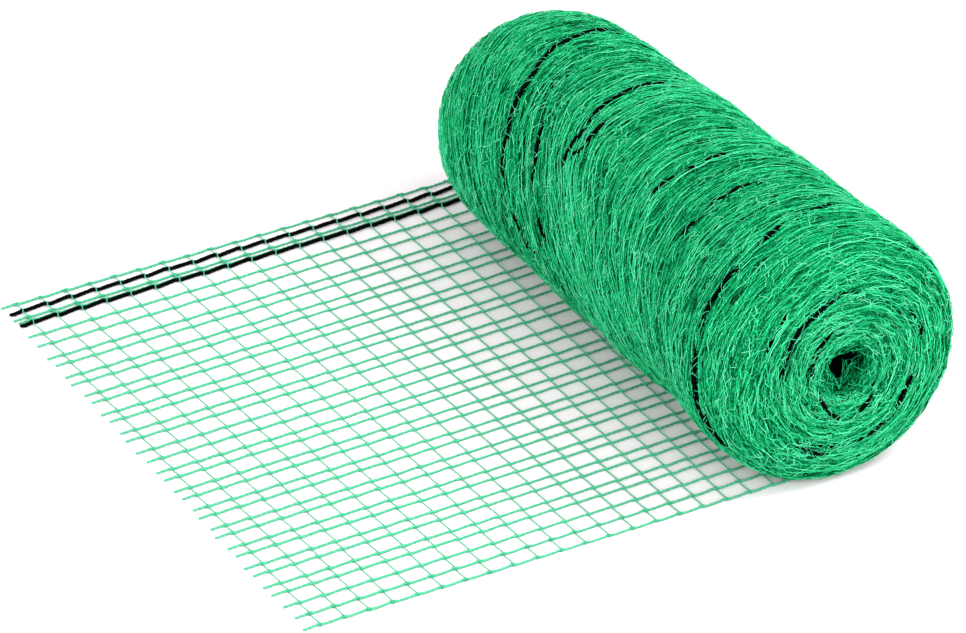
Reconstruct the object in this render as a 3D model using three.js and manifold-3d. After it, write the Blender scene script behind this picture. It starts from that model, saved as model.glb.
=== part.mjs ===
// A roll of green deer fence netting, lying on the floor with its free end laid out in front.
//
// Millimetres. +Z is up and the floor is Z = 0. The netting unrolls along X, so its cut edge
// is at -X and the roll at +X. Y is the netting's width: the bare edge is at -Y, and the edge
// with the two black cords is at +Y. X = 0 and Y = 0 are the middle of the whole object.

import * as THREE from 'three';
import { mergeVertices } from 'three/addons/utils/BufferGeometryUtils.js';
import Module from 'manifold-3d';

const wasm = await Module();
wasm.setup();

// Driving dimensions
const OVERALL_LENGTH = 505;     // cut strand tips to the back of the roll, along X
const OVERALL_WIDTH = 491;      // along Y
const ROLL_LENGTH = 472;        // along Y
const ROLL_RADIUS = 95;         // at its fullest, near the -Y end
const AXIS_HEIGHT_START = 92;   // the roll's axis above the floor at its -Y end
const AXIS_HEIGHT_END = 80;     // and at its +Y end, where the roll is thinner
const CORE_RADIUS = 14;         // the open middle
const CORE_POINTING = 0.16;     // how far the open middle is from round, towards a triangle
const CORE_SHIFT_X = 4;         // how far the open middle has moved off the axis at the -Y end
const CORE_SAG = 5;             // and how far it has sunk there
const CORE_SHIFT_REACH = 60;    // turns past this radius are not moved
const NET_THICKNESS = 1.6;      // the knitted strands, lying flat
const CROSS_LEAN = 10.5;        // how far the cross strands run towards -X over the width
const TAIL = 11.5;              // length of the cut strand tips past the first cross strand
const STRAND_WIDTH = 1.6;
const CORD_DIAMETER = 2;
const CORD_HOOK = 1.5;          // a cord's cut end turns this far to one side
const TROUGH_FLOOR = 0.6;       // netting left under a cord, which is half sunk into it
const GAP = 0.3;                // between two pieces that lie on each other

// Gaps between neighbouring lengthwise strands, from the corded edge to the bare edge
const BORDER_GAPS = [11.6, 8, 9.2, 15.6, 14.4, 18.4];
const GAP_PAIRS = [
  { narrow: 10.8, wide: 17.4, repeats: 5 },
  { narrow: 13.6, wide: 16, repeats: 1 },
  { narrow: 10.8, wide: 16.5, repeats: 7 },
  { narrow: 15.6, wide: 15.2, repeats: 1 },
];
const CORD_STRANDS = [1, 3];    // these two strands of the border are the black cords

// Places that follow from them
const TIP_X = -OVERALL_LENGTH / 2;
const ROLL_X = OVERALL_LENGTH / 2 - ROLL_RADIUS;
const ROLL_START_Y = -OVERALL_WIDTH / 2;
const NET_FAR_Y = OVERALL_WIDTH / 2;
const CORD_MIDDLE_Z = TROUGH_FLOOR + GAP + CORD_DIAMETER / 2;

// The roll's outline, from the core at its -Y end round to the core at its +Y end
const ROLL_OUTLINE = [
  { at: 8, radius: CORE_RADIUS, place: 'core mouth' },
  { at: 3, radius: 27, place: 'end face' },
  { at: 0.2, radius: 48, place: 'end face' },
  { at: 0.2, radius: 68, place: 'end face' },
  { at: 3, radius: 82, place: 'end face' },
  { at: 10, radius: 91, place: 'shoulder' },
  { at: 24, radius: 94, place: 'shoulder' },
  { at: 50, radius: ROLL_RADIUS - 0.2, place: 'fullest turn' },
  { at: 100, radius: 93, place: 'body' },
  { at: 170, radius: 91.4, place: 'body' },
  { at: 250, radius: 89.4, place: 'body' },
  { at: 330, radius: 87.3, place: 'body' },
  { at: 385, radius: 85.4, place: 'body' },
  { at: 415, radius: 82.2, place: 'far shoulder' },
  { at: 436, radius: 74, place: 'far shoulder' },
  { at: 451, radius: 62, place: 'far shoulder' },
  { at: 462, radius: 47, place: 'far end face' },
  { at: 468, radius: 30, place: 'far end face' },
  { at: 466, radius: CORE_RADIUS, place: 'core mouth' },
];
const OUTLINE_STEPS = 46;
const CORE_STEPS = 5;
const SIDES = 60;
const CONTACT_STEP = 4;         // closest spacing of points along the line of contact
const CORD_STEPS = 40;
const CORD_SIDES = 8;

// Soft bands where the netting is bunched (rise above 0) or drawn in (rise below 0).
// A band drifts along the roll by `lean` as it goes round, and is strongest at `facing`,
// in degrees from +X towards +Z.
const BANDS = [
  { at: 44, width: 26, rise: 2.6, lean: 7, facing: 190 },
  { at: 112, width: 20, rise: -3.2, lean: -6, facing: 200 },
  { at: 165, width: 18, rise: 1.7, lean: 9, facing: 120 },
  { at: 212, width: 16, rise: -1.6, lean: 6, facing: 150 },
  { at: 258, width: 18, rise: 1.8, lean: -9, facing: 70 },
  { at: 315, width: 16, rise: -1.7, lean: 8, facing: 210 },
  { at: 362, width: 17, rise: 1.6, lean: -7, facing: 110 },
];
const END_TURN_PITCH = 17;      // the spiral of turns that shows on the end faces
const END_TURN_DEPTH = 1.3;

const netMaterial = new THREE.MeshStandardMaterial({ color: 0x1fae68, roughness: 0.55, metalness: 0 });
const cordMaterial = new THREE.MeshStandardMaterial({ color: 0x0d0f0e, roughness: 0.6, metalness: 0 });

const { degToRad, lerp, smoothstep } = THREE.MathUtils;

function axisHeight(at) {
  return lerp(AXIS_HEIGHT_START, AXIS_HEIGHT_END, at / ROLL_LENGTH);
}

// How much the bunched bands add to the outer turn at one place on the roll.
function bandRise(at, angle) {
  let rise = 0;
  for (const band of BANDS) {
    const facing = degToRad(band.facing);
    const middle = band.at + band.lean * Math.sin(angle - facing);
    const share = 0.5 + 0.5 * Math.cos(angle - facing);
    rise += band.rise * share * Math.exp(-(((at - middle) / band.width) ** 2));
  }
  return rise;
}

// One closed ring of the roll's surface, at a point of its outline. The bands shape the outer
// turns, the spiral shapes the end faces, and near the core the ring turns into a triangle.
function rollRing(at, radius, faceSide) {
  const body = smoothstep(radius, 0.75 * ROLL_RADIUS, 0.9 * ROLL_RADIUS);
  const face = smoothstep(radius, CORE_RADIUS, 2 * CORE_RADIUS) * (1 - body);
  const pointing = CORE_POINTING * (1 - smoothstep(radius, CORE_RADIUS, 2.4 * CORE_RADIUS));
  const shift = (1 - smoothstep(radius, CORE_RADIUS, CORE_SHIFT_REACH)) * (1 - at / ROLL_LENGTH);
  const middleX = ROLL_X + CORE_SHIFT_X * shift;
  const middleZ = axisHeight(at) - CORE_SAG * shift;
  const ring = [];
  for (let side = 0; side < SIDES; side += 1) {
    const angle = (2 * Math.PI * side) / SIDES;
    const turn = 0.5 - 0.5 * Math.cos((2 * Math.PI * radius) / END_TURN_PITCH - angle);
    const shaped = radius * (1 + pointing * Math.cos(3 * (angle + Math.PI / 2)));
    const reach = shaped + body * bandRise(at, angle);
    const along = at + faceSide * face * END_TURN_DEPTH * turn;
    const height = Math.max(0, middleZ + reach * Math.sin(angle));
    ring.push(new THREE.Vector3(middleX + reach * Math.cos(angle), ROLL_START_Y + along, height));
  }
  return ring;
}

function rollRings() {
  const outline = new THREE.SplineCurve(ROLL_OUTLINE.map((row) => new THREE.Vector2(row.at, row.radius)));
  const rings = outline.getSpacedPoints(OUTLINE_STEPS).map((point) => {
    const at = THREE.MathUtils.clamp(point.x, 0, ROLL_LENGTH);
    const faceSide = at < ROLL_LENGTH / 2 ? 1 : -1;
    return rollRing(at, point.y, faceSide);
  });
  const coreStart = ROLL_OUTLINE[0].at;
  const coreEnd = ROLL_OUTLINE.at(-1).at;
  for (let step = 1; step < CORE_STEPS; step += 1) {
    const at = lerp(coreEnd, coreStart, step / CORE_STEPS);
    rings.push(rollRing(at, CORE_RADIUS, 0));
  }
  return rings;
}

// Skins a closed loop of closed rings: out along the roll and back through its core.
function ringGeometry(loop) {
  const positions = loop.flat().flatMap((point) => point.toArray());
  const indices = [];
  loop.forEach((ring, row) => {
    const here = row * SIDES;
    const next = ((row + 1) % loop.length) * SIDES;
    ring.forEach((_, side) => {
      const after = (side + 1) % SIDES;
      indices.push(here + side, next + after, here + after);
      indices.push(here + side, next + side, next + after);
    });
  });
  const geometry = new THREE.BufferGeometry();
  geometry.setAttribute('position', new THREE.Float32BufferAttribute(positions, 3));
  geometry.setIndex(indices);
  geometry.computeVertexNormals();
  return geometry;
}

// Where the laid netting has to stop, so that it stays a gap away from one ring of the roll.
function reachUnder(ring, height) {
  let reach = ROLL_X;
  ring.forEach((point, side) => {
    const next = ring[(side + 1) % SIDES];
    const crosses = (point.z - height) * (next.z - height) <= 0 && point.z !== next.z;
    if (crosses && point.x < ROLL_X) {
      const share = (height - point.z) / (next.z - point.z);
      reach = Math.min(reach, lerp(point.x, next.x, share));
    }
  });
  return reach;
}

// The middles of the lengthwise strands, from the corded edge to the bare edge.
function strandPlaces() {
  const gaps = [...BORDER_GAPS];
  for (const pair of GAP_PAIRS) {
    for (let count = 0; count < pair.repeats; count += 1) {
      gaps.push(pair.narrow, pair.wide);
    }
  }
  const places = [NET_FAR_Y - STRAND_WIDTH / 2];
  for (const gap of gaps) {
    places.push(places.at(-1) - gap);
  }
  return places;
}

const strands = strandPlaces();
const NET_NEAR_Y = strands.at(-1) - STRAND_WIDTH / 2;
const rollLoop = rollRings();

// The first cross strand leans, so the cut edge is further out at the bare edge.
function cutEdgeX(y) {
  const share = (NET_FAR_Y - y) / (NET_FAR_Y - NET_NEAR_Y);
  return TIP_X + TAIL + CROSS_LEAN * (1 - share);
}

// The laid netting seen from above: straight edges, the comb of cut strands, and the line
// where it meets the roll, one point for each ring that the netting passes under.
function laidOutline() {
  const shape = new THREE.Shape();
  shape.moveTo(cutEdgeX(NET_FAR_Y) - TAIL, NET_FAR_Y);
  strands.forEach((middle, place) => {
    const low = middle - STRAND_WIDTH / 2;
    const high = middle + STRAND_WIDTH / 2;
    if (CORD_STRANDS.includes(place)) {
      return;
    }
    if (place > 0) {
      shape.lineTo(cutEdgeX(high), high);
      shape.lineTo(cutEdgeX(high) - TAIL, high);
    }
    shape.lineTo(cutEdgeX(low) - TAIL, low);
    if (place < strands.length - 1) {
      shape.lineTo(cutEdgeX(low), low);
    }
  });
  const contact = contactLine();
  shape.lineTo(contact[0].x, NET_NEAR_Y);
  for (const point of contact) {
    shape.lineTo(point.x, point.y);
  }
  shape.lineTo(contact.at(-1).x, NET_FAR_Y);
  return shape;
}

// The line along the roll where its underside comes down to the top of the laid netting. Under
// the far shoulder, which is clear of the floor, it runs on below the axis.
function contactLine() {
  const height = NET_THICKNESS + 2 * GAP;
  const points = [];
  for (const ring of rollLoop.slice(0, OUTLINE_STEPS + 1)) {
    const y = ring[0].y;
    const last = points.at(-1);
    const apart = !last || y - last.y > CONTACT_STEP;
    if (apart && y > NET_NEAR_Y && y < NET_FAR_Y) {
      points.push({ x: reachUnder(ring, height), y });
    }
  }
  return points;
}

function solidOf(geometry) {
  const bare = geometry.clone();
  bare.deleteAttribute('normal');
  bare.deleteAttribute('uv');
  const merged = mergeVertices(bare, 1e-4);
  const mesh = new wasm.Mesh({
    numProp: 3,
    vertProperties: Float32Array.from(merged.attributes.position.array),
    triVerts: Uint32Array.from(merged.index.array),
  });
  return new wasm.Manifold(mesh);
}

function geometryOf(solid) {
  const mesh = solid.getMesh();
  const geometry = new THREE.BufferGeometry();
  geometry.setAttribute('position', new THREE.Float32BufferAttribute(mesh.vertProperties, 3));
  geometry.setIndex(Array.from(mesh.triVerts));
  geometry.computeVertexNormals();
  return geometry;
}

// The laid netting is one plate, with a shallow trough for each black cord.
function laidGeometry() {
  const plate = new THREE.ExtrudeGeometry(laidOutline(), { depth: NET_THICKNESS, bevelEnabled: false });
  let solid = solidOf(plate);
  for (const place of CORD_STRANDS) {
    const trough = new THREE.BoxGeometry(2 * OVERALL_LENGTH, CORD_DIAMETER + 2 * GAP, 2 * NET_THICKNESS);
    trough.translate(0, strands[place], TROUGH_FLOOR + NET_THICKNESS);
    solid = solid.subtract(solidOf(trough));
  }
  return geometryOf(solid);
}

// A border cord, straight along the netting, with its cut end turned a little to one side.
function cordGeometry(place) {
  const y = strands[place];
  const start = cutEdgeX(y) - TAIL;
  const end = ROLL_X - GAP;
  const path = new THREE.CatmullRomCurve3([
    new THREE.Vector3(start + 1, y - CORD_HOOK, CORD_MIDDLE_Z),
    new THREE.Vector3(start + 5, y - 0.2 * CORD_HOOK, CORD_MIDDLE_Z),
    new THREE.Vector3(start + 0.8 * TAIL, y, CORD_MIDDLE_Z),
    new THREE.Vector3(start + TAIL, y, CORD_MIDDLE_Z),
    new THREE.Vector3(0, y, CORD_MIDDLE_Z),
    new THREE.Vector3(end, y, CORD_MIDDLE_Z),
  ], false, 'catmullrom', 0);
  const section = new THREE.Shape(
    Array.from({ length: CORD_SIDES }, (_, side) => {
      const angle = (2 * Math.PI * side) / CORD_SIDES;
      return new THREE.Vector2(Math.cos(angle), Math.sin(angle)).multiplyScalar(CORD_DIAMETER / 2);
    }),
  );
  return new THREE.ExtrudeGeometry(section, { steps: CORD_STEPS, extrudePath: path, bevelEnabled: false });
}

function piece(name, geometry, material) {
  const mesh = new THREE.Mesh(geometry, material);
  mesh.name = name;
  return mesh;
}

const roll = new THREE.Group();
roll.add(piece('net_roll', ringGeometry(rollLoop), netMaterial));
roll.add(piece('net_laid', laidGeometry(), netMaterial));
roll.add(piece('border_cord_outer', cordGeometry(CORD_STRANDS[0]), cordMaterial));
roll.add(piece('border_cord_inner', cordGeometry(CORD_STRANDS[1]), cordMaterial));

export default roll;
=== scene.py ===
# %% [markdown]
# A roll of green fence netting lies on the floor, with its free end drawn out in front of it.
# The netting is knitted from thin plastic yarn. Laid out, every cell of the mesh shows. Wound
# up, about forty loose turns cover each other, and the roll reads as a mass of fine strands.
# A cylinder with a bumpy finish could stand for the roll, but close up it would look like felt
# and its outline would be smooth. This lesson builds both from curves, because every strand is
# a real yarn about 1 mm thick.

# %% Load the packed model
import math

import bmesh
import bpy
import numpy as np
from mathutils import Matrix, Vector
from mathutils.bvhtree import BVHTree


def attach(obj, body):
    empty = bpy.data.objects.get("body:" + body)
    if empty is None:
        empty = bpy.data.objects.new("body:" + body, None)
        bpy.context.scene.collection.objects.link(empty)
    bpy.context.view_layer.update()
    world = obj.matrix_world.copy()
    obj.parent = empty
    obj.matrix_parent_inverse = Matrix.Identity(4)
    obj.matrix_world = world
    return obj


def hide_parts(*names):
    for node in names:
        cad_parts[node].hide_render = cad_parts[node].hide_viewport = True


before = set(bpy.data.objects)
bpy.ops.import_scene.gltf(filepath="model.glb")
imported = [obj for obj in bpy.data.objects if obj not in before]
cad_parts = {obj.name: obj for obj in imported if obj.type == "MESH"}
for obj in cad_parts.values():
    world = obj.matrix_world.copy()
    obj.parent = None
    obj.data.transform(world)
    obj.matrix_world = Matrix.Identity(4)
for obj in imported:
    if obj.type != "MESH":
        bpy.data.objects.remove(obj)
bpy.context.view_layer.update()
MM = 0.001
print("construction nodes:", ", ".join(sorted(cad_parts)))

# %% [markdown]
# The picture is taken from well back with a long lens, as for a catalogue, so the laid netting
# hardly narrows towards its far edge. A camera without perspective would be simpler, but then
# it wouldn't narrow at all. This one looks along the roll from above its near end.

# %% Camera
CAMERA_AZIMUTH = math.radians(-29.51)
CAMERA_ELEVATION = math.radians(31.13)
CAMERA_DISTANCE = 6.0
CAMERA_TARGET = Vector((50.15, 67.8, 0)) * MM
CAMERA_LENS = 316.1
CAMERA_REACH = 50.0
SENSOR_WIDTH = 36.0


def make_camera():
    back = Vector((
        math.sin(CAMERA_AZIMUTH) * math.cos(CAMERA_ELEVATION),
        -math.cos(CAMERA_AZIMUTH) * math.cos(CAMERA_ELEVATION),
        math.sin(CAMERA_ELEVATION),
    ))
    data = bpy.data.cameras.new("camera")
    data.lens = CAMERA_LENS
    data.sensor_width = SENSOR_WIDTH
    data.clip_end = CAMERA_REACH
    camera = bpy.data.objects.new("camera", data)
    camera.location = CAMERA_TARGET + back * CAMERA_DISTANCE
    camera.rotation_euler = back.to_track_quat("Z", "Y").to_euler()
    bpy.context.scene.collection.objects.link(camera)
    bpy.context.scene.camera = camera
    print("camera at", [round(c, 3) for c in camera.location], "m")


make_camera()

# %% [markdown]
# Every later step places strands by how far along the roll they lie and how far round it. The
# roll's axis is a little lower at its thin end, and its open core has sagged at the near end.
# Angles go from +X towards +Z. Two small functions hold the axis and the core, so that no later
# step has to work out the roll's slope again.

# %% Places on the roll
ROLL_X = 157.5
ROLL_START_Y = -245.5
ROLL_LENGTH = 472.0
AXIS_HEIGHT_START = 92.0
AXIS_HEIGHT_END = 80.0
CORE_SHIFT_X = 4.0
CORE_SAG = 5.0
JOIN_DISTANCE = 1e-6


def axis_point(along):
    """A point of the roll's axis, in metres. along is in millimetres from the near end."""
    height = AXIS_HEIGHT_START + (AXIS_HEIGHT_END - AXIS_HEIGHT_START) * along / ROLL_LENGTH
    return Vector((ROLL_X, ROLL_START_Y + along, height)) * MM


def core_point(along):
    """The middle of the open core, which meets the axis at the far end."""
    share = 1 - along / ROLL_LENGTH
    return axis_point(along) + Vector((CORE_SHIFT_X, 0, -CORE_SAG)) * share * MM


def out_from_axis(degrees):
    angle = math.radians(degrees)
    return Vector((math.cos(angle), 0, math.sin(angle)))


def merged_copy(node, name):
    """A copy of a construction mesh with its loose triangles joined."""
    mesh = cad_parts[node].data.copy()
    bm = bmesh.new()
    bm.from_mesh(mesh)
    bmesh.ops.remove_doubles(bm, verts=bm.verts, dist=JOIN_DISTANCE)
    bm.to_mesh(mesh)
    bm.free()
    mesh.name = name
    return mesh


def ray_target(mesh):
    return BVHTree.FromPolygons([v.co for v in mesh.vertices], [p.vertices for p in mesh.polygons])


roll_form = ray_target(merged_copy("net_roll", "roll_form"))

# %% [markdown]
# The strands are laid on a guide: a thin skin over the wound form with a map on it, like a globe
# with its meridians. The construction mesh could serve as the guide, but its triangles carry no
# map. So rays are sent towards the axis, and they fan out at both ends so that they cover the
# end faces too. Further rays feel the wall of the open core from inside. The map's first number
# runs round the roll and its second from inside the core at the near end, over the outer turns,
# to the core at the far end.

# %% Rays for the guide skin
FAN_DEPTH = 60.0
FAN_START = math.radians(21)
FAN_SHIFT = 1.3
RAY_START = 0.3
GUIDE_COLUMNS = 96
FACE_ROWS = 40
BODY_ROWS = 80
NEAR_CORE = [48, 34, 22, 13, 9]
FAR_MOUTH = 4
FAR_CORE = [9, 16, 28]


def guide_rays():
    """The rows of rays from core to core: what each one feels, its place along, its fan angle."""
    fan = np.linspace(FAN_START, math.pi / 2, FACE_ROWS)
    rows = [("core", along, 0) for along in NEAR_CORE]
    rows += [("fan", FAN_DEPTH, angle) for angle in fan[:-1]]
    body = np.linspace(FAN_DEPTH, ROLL_LENGTH - FAN_DEPTH, BODY_ROWS)
    rows += [("fan", along, math.pi / 2) for along in body]
    rows += [("fan", ROLL_LENGTH - FAN_DEPTH, math.pi - angle) for angle in fan[-2::-1]]
    rows += [("core", ROLL_LENGTH - FAR_MOUTH - depth, 0) for depth in FAR_CORE]
    return rows


def column_angle(column):
    """Column 0 lies at the bottom of the roll, where the netting leaves the floor."""
    return 360 * column / GUIDE_COLUMNS - 90


def ray_hit(kind, along, fan, degrees):
    """Where one ray meets the wound form: from the core outwards, or from outside inwards."""
    out = out_from_axis(degrees)
    if kind == "core":
        return roll_form.ray_cast(core_point(along), out)[0]
    middle = core_point(along).lerp(axis_point(along), min(1.0, math.sin(fan) ** 2 * FAN_SHIFT))
    heading = out * math.sin(fan) + Vector((0, -math.cos(fan), 0))
    return roll_form.ray_cast(middle + heading * RAY_START, -heading)[0]


def guide_points():
    points = []
    for kind, along, fan in guide_rays():
        row = []
        for column in range(GUIDE_COLUMNS + 1):
            hit = ray_hit(kind, along, fan, column_angle(column))
            row.append(hit if hit is not None else row[-1])
        points.append(row)
    return np.array(points)


guide = guide_points()
print("guide rows and columns:", guide.shape[:2])

# %% [markdown]
# On the end faces the turns stand out as a low spiral ridge, one ridge for each few turns. It
# could be painted on as a darker line, but then the light wouldn't catch it. So the guide gets
# the ridge, and the strands rise and sink with it. The guide also keeps what the strands ask it
# for: the length round the roll, the place along it, and the ridge's height. The strands' tone
# reads that height too, as painted light on the crests and painted shade in the valleys.

# %% The guide skin
RIDGE_PITCH = 8.5 * MM
RIDGE_HEIGHT = 2.0 * MM
RIDGE_BEGINS = (22 * MM, 30 * MM)
RIDGE_FADES = (70 * MM, 84 * MM)


def smooth_step(low, high, value):
    share = np.clip((value - low) / (high - low), 0, 1)
    return share * share * (3 - 2 * share)


def axis_beside(row):
    """The axis point beside each point of one row."""
    return [axis_point((y - ROLL_START_Y * MM) / MM) for y in row[:, 1]]


def add_spiral_ridge(points):
    """Raises the ridge on both end faces and returns its height, from -1 to 1, at each point."""
    turns = np.linspace(0, 1, points.shape[1])
    offsets = points - np.array([axis_beside(row) for row in points])
    radius = np.hypot(offsets[..., 0], offsets[..., 2])
    on_face = smooth_step(*RIDGE_BEGINS, radius) * (1 - smooth_step(*RIDGE_FADES, radius))
    ridge = np.cos(2 * math.pi * (radius / RIDGE_PITCH + turns)) * RIDGE_HEIGHT * on_face
    middle = (ROLL_START_Y + ROLL_LENGTH / 2) * MM
    points[..., 1] += np.where(points[..., 1] < middle, -ridge, ridge)
    return ridge / RIDGE_HEIGHT


def guide_mesh(points, ridge):
    """The skin as an open mesh with its map, each row's place on the map, and its length."""
    steps = np.linalg.norm(np.diff(points, axis=0), axis=2).mean(axis=1)
    lengths = np.concatenate([[0], np.cumsum(steps)])
    shares = lengths / lengths[-1]
    girths = np.linalg.norm(np.diff(points, axis=1), axis=2).sum(axis=1)
    rows, columns = points.shape[:2]
    faces = [
        (r * columns + c, (r + 1) * columns + c, (r + 1) * columns + c + 1, r * columns + c + 1)
        for r in range(rows - 1)
        for c in range(columns - 1)
    ]
    mesh = bpy.data.meshes.new("wound_guide")
    mesh.from_pydata(points.reshape(-1, 3).tolist(), [], faces)
    uv = mesh.uv_layers.new(name="wound_map")
    for loop in mesh.loops:
        row, column = divmod(loop.vertex_index, columns)
        uv.data[loop.index].uv = (column / GUIDE_COLUMNS, shares[row])
    # The ridge mark is read back only to paint light on the crests and shade in the valleys.
    marks = {"girth": np.repeat(girths, columns), "along": points[..., 1], "ridge": ridge}
    for name, values in marks.items():
        mark = mesh.attributes.new(name, "FLOAT", "POINT")
        mark.data.foreach_set("value", values.ravel().astype(np.float32))
    return mesh, shares, float(lengths[-1])


guide_ridge = add_spiral_ridge(guide)
wound_guide, guide_shares, GUIDE_LENGTH = guide_mesh(guide, guide_ridge)
print("guide length from core to core", round(GUIDE_LENGTH, 3), "m")

# %% [markdown]
# Node trees are wired here by a small helper. They could be drawn in the editor, but a tree in
# the script can be read and changed line by line. Each node is added with its settings and with
# what feeds it, so a tree reads from top to bottom, and short names stand for the sums, noises
# and smooth steps that come back in every tree.

# %% Helper for node trees
class Wiring:
    """Adds nodes to a tree and links their inputs."""

    def __init__(self, tree):
        self.tree = tree

    def add(self, kind, feeds=(), **settings):
        node = self.tree.nodes.new(kind)
        for name, value in settings.items():
            setattr(node, name, value)
        for key, value in dict(feeds).items():
            self.feed(self.socket(node.inputs, key), value)
        return node

    def socket(self, sockets, key):
        if isinstance(key, int):
            return sockets[key]
        return next(s for s in sockets if s.enabled and key in (s.name, s.identifier))

    def feed(self, socket, value):
        """Links a node's first output or a socket, or sets a plain value."""
        if isinstance(value, bpy.types.Node):
            value = next(s for s in value.outputs if s.enabled)
        if isinstance(value, bpy.types.NodeSocket):
            self.tree.links.new(value, socket)
        else:
            socket.default_value = value

    def math(self, operation, first, second=0.0, third=0.0):
        return self.add("ShaderNodeMath", enumerate((first, second, third)), operation=operation)

    def total(self, *values):
        result = values[0]
        for value in values[1:]:
            result = self.math("ADD", result, value)
        return result

    def times(self, *values):
        result = values[0]
        for value in values[1:]:
            result = self.math("MULTIPLY", result, value)
        return result

    def centred(self, value):
        """A value from 0 to 1 moved to lie from -0.5 to 0.5."""
        return self.math("SUBTRACT", value, 0.5)

    def between(self, share, low, high):
        return self.math("MULTIPLY_ADD", share, self.math("SUBTRACT", high, low), low)

    def keep_in(self, value, low, high):
        return self.math("MINIMUM", self.math("MAXIMUM", value, low), high)

    def vector(self, x, y, z):
        return self.add("ShaderNodeCombineXYZ", {"X": x, "Y": y, "Z": z})

    def vmath(self, operation, first, second=None, scale=None):
        feeds = {0: first}
        if second is not None:
            feeds[1] = second
        if scale is not None:
            feeds["Scale"] = scale
        return self.add("ShaderNodeVectorMath", feeds, operation=operation)

    def smooth(self, value, low, high, start=0.0, end=1.0):
        feeds = {"Value": value, "From Min": low, "From Max": high, "To Min": start, "To Max": end}
        return self.add("ShaderNodeMapRange", feeds, interpolation_type="SMOOTHSTEP")

    def noise(self, x, y, z, detail=1.0):
        """Soft noise from -1 to 1 at one place of a field."""
        place = {"Vector": self.vector(x, y, z), "Scale": 1.0, "Detail": detail}
        field = self.add("ShaderNodeTexNoise", place)
        return self.math("MULTIPLY_ADD", field.outputs["Fac"], 2.0, -1.0)


print("nodes can be wired by", ", ".join(name for name in vars(Wiring) if name[0] != "_"))

# %% [markdown]
# A piece of yarn is grown by a Geometry Nodes tree with named inputs. Its modifier could stay
# on the piece, but other programs can't run it. So the tree is run once, its result becomes a
# plain mesh, and the modifier goes. One piece may join several such meshes.

# %% Helpers for growing pieces
SOCKETS = {
    float: "NodeSocketFloat", int: "NodeSocketInt", bpy.types.Material: "NodeSocketMaterial",
}


def node_tree(name, defaults):
    """A new Geometry Nodes tree with one named input for each default value."""
    tree = bpy.data.node_groups.new(name, "GeometryNodeTree")
    tree.interface.new_socket("Geometry", in_out="INPUT", socket_type="NodeSocketGeometry")
    for label, value in defaults.items():
        socket = tree.interface.new_socket(label, in_out="INPUT", socket_type=SOCKETS[type(value)])
        socket.default_value = value
    tree.interface.new_socket("Geometry", in_out="OUTPUT", socket_type="NodeSocketGeometry")
    return tree


def grow(name, tree, mesh, values):
    """Runs a tree on a mesh and returns the result as a plain mesh."""
    source = bpy.data.objects.new(name + "_source", mesh)
    bpy.context.scene.collection.objects.link(source)
    modifier = source.modifiers.new("grow", "NODES")
    modifier.node_group = tree
    for item in tree.interface.items_tree:
        if item.in_out == "INPUT" and item.name in values:
            modifier[item.identifier] = values[item.name]
    graph = bpy.context.evaluated_depsgraph_get()
    grown = bpy.data.meshes.new_from_object(source.evaluated_get(graph))
    source.modifiers.remove(modifier)
    bpy.data.objects.remove(source)
    grown.name = name
    return grown


def triangles(mesh):
    return sum(len(p.vertices) - 2 for p in mesh.polygons)


def add_piece(name, meshes):
    """One piece from one or more meshes, in the whole model's frame."""
    parts = []
    for mesh in meshes:
        part = bpy.data.objects.new(name, mesh)
        bpy.context.scene.collection.objects.link(part)
        parts.append(part)
    piece = parts[0]
    piece.name = name
    if len(parts) > 1:
        with bpy.context.temp_override(active_object=piece, selected_editable_objects=parts):
            bpy.ops.object.join()
    piece.data.name = name
    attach(piece, "root")
    print(name, triangles(piece.data), "triangles")
    return piece

# %% [markdown]
# The netting's plastic is a bright green with a soft shine. Strands differ: where the yarn is
# stretched thin it looks minty, and deep in a bundle it is painted dark, as painted shade. A
# material for each shade would take many pieces. Instead each strand carries a number called
# tone, from 0 for deep painted shade to 1 for minty, and one shader group turns it into colour.
# The tone holds painted light and shade as well as random shades of the yarn itself. The roll
# and the laid netting both use the group, with their own values.

# %% Shader group for the netting's colour
YARN_SHADES = [
    {"tone": 0.0, "shade": (0.0001, 0.022, 0.007, 1)},
    {"tone": 0.12, "shade": (0.0002, 0.11, 0.032, 1)},
    {"tone": 0.45, "shade": (0.004, 0.42, 0.145, 1)},
    {"tone": 0.8, "shade": (0.055, 0.66, 0.31, 1)},
    {"tone": 1.0, "shade": (0.17, 0.74, 0.45, 1)},
]
WASHED_GREEN = (0.07, 0.37, 0.225, 1)
GRAIN_SCALE = 750.0


def ramp(wires, factor, stops):
    """A colour ramp from rows of (place, colour)."""
    node = wires.add("ShaderNodeValToRGB", {"Fac": factor})
    elements = node.color_ramp.elements
    while len(elements) < len(stops):
        elements.new(0.5)
    for element, (place, colour) in zip(elements, stops):
        element.position = place
        element.color = colour
    return node.outputs["Color"]


def mixed(wires, factor, first, second):
    """A mix of two colours."""
    node = wires.add("ShaderNodeMix", data_type="RGBA")
    for key, value in (("Factor", factor), ("A", first), ("B", second)):
        wires.feed(wires.socket(node.inputs, key), value)
    return wires.socket(node.outputs, "Result")


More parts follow.
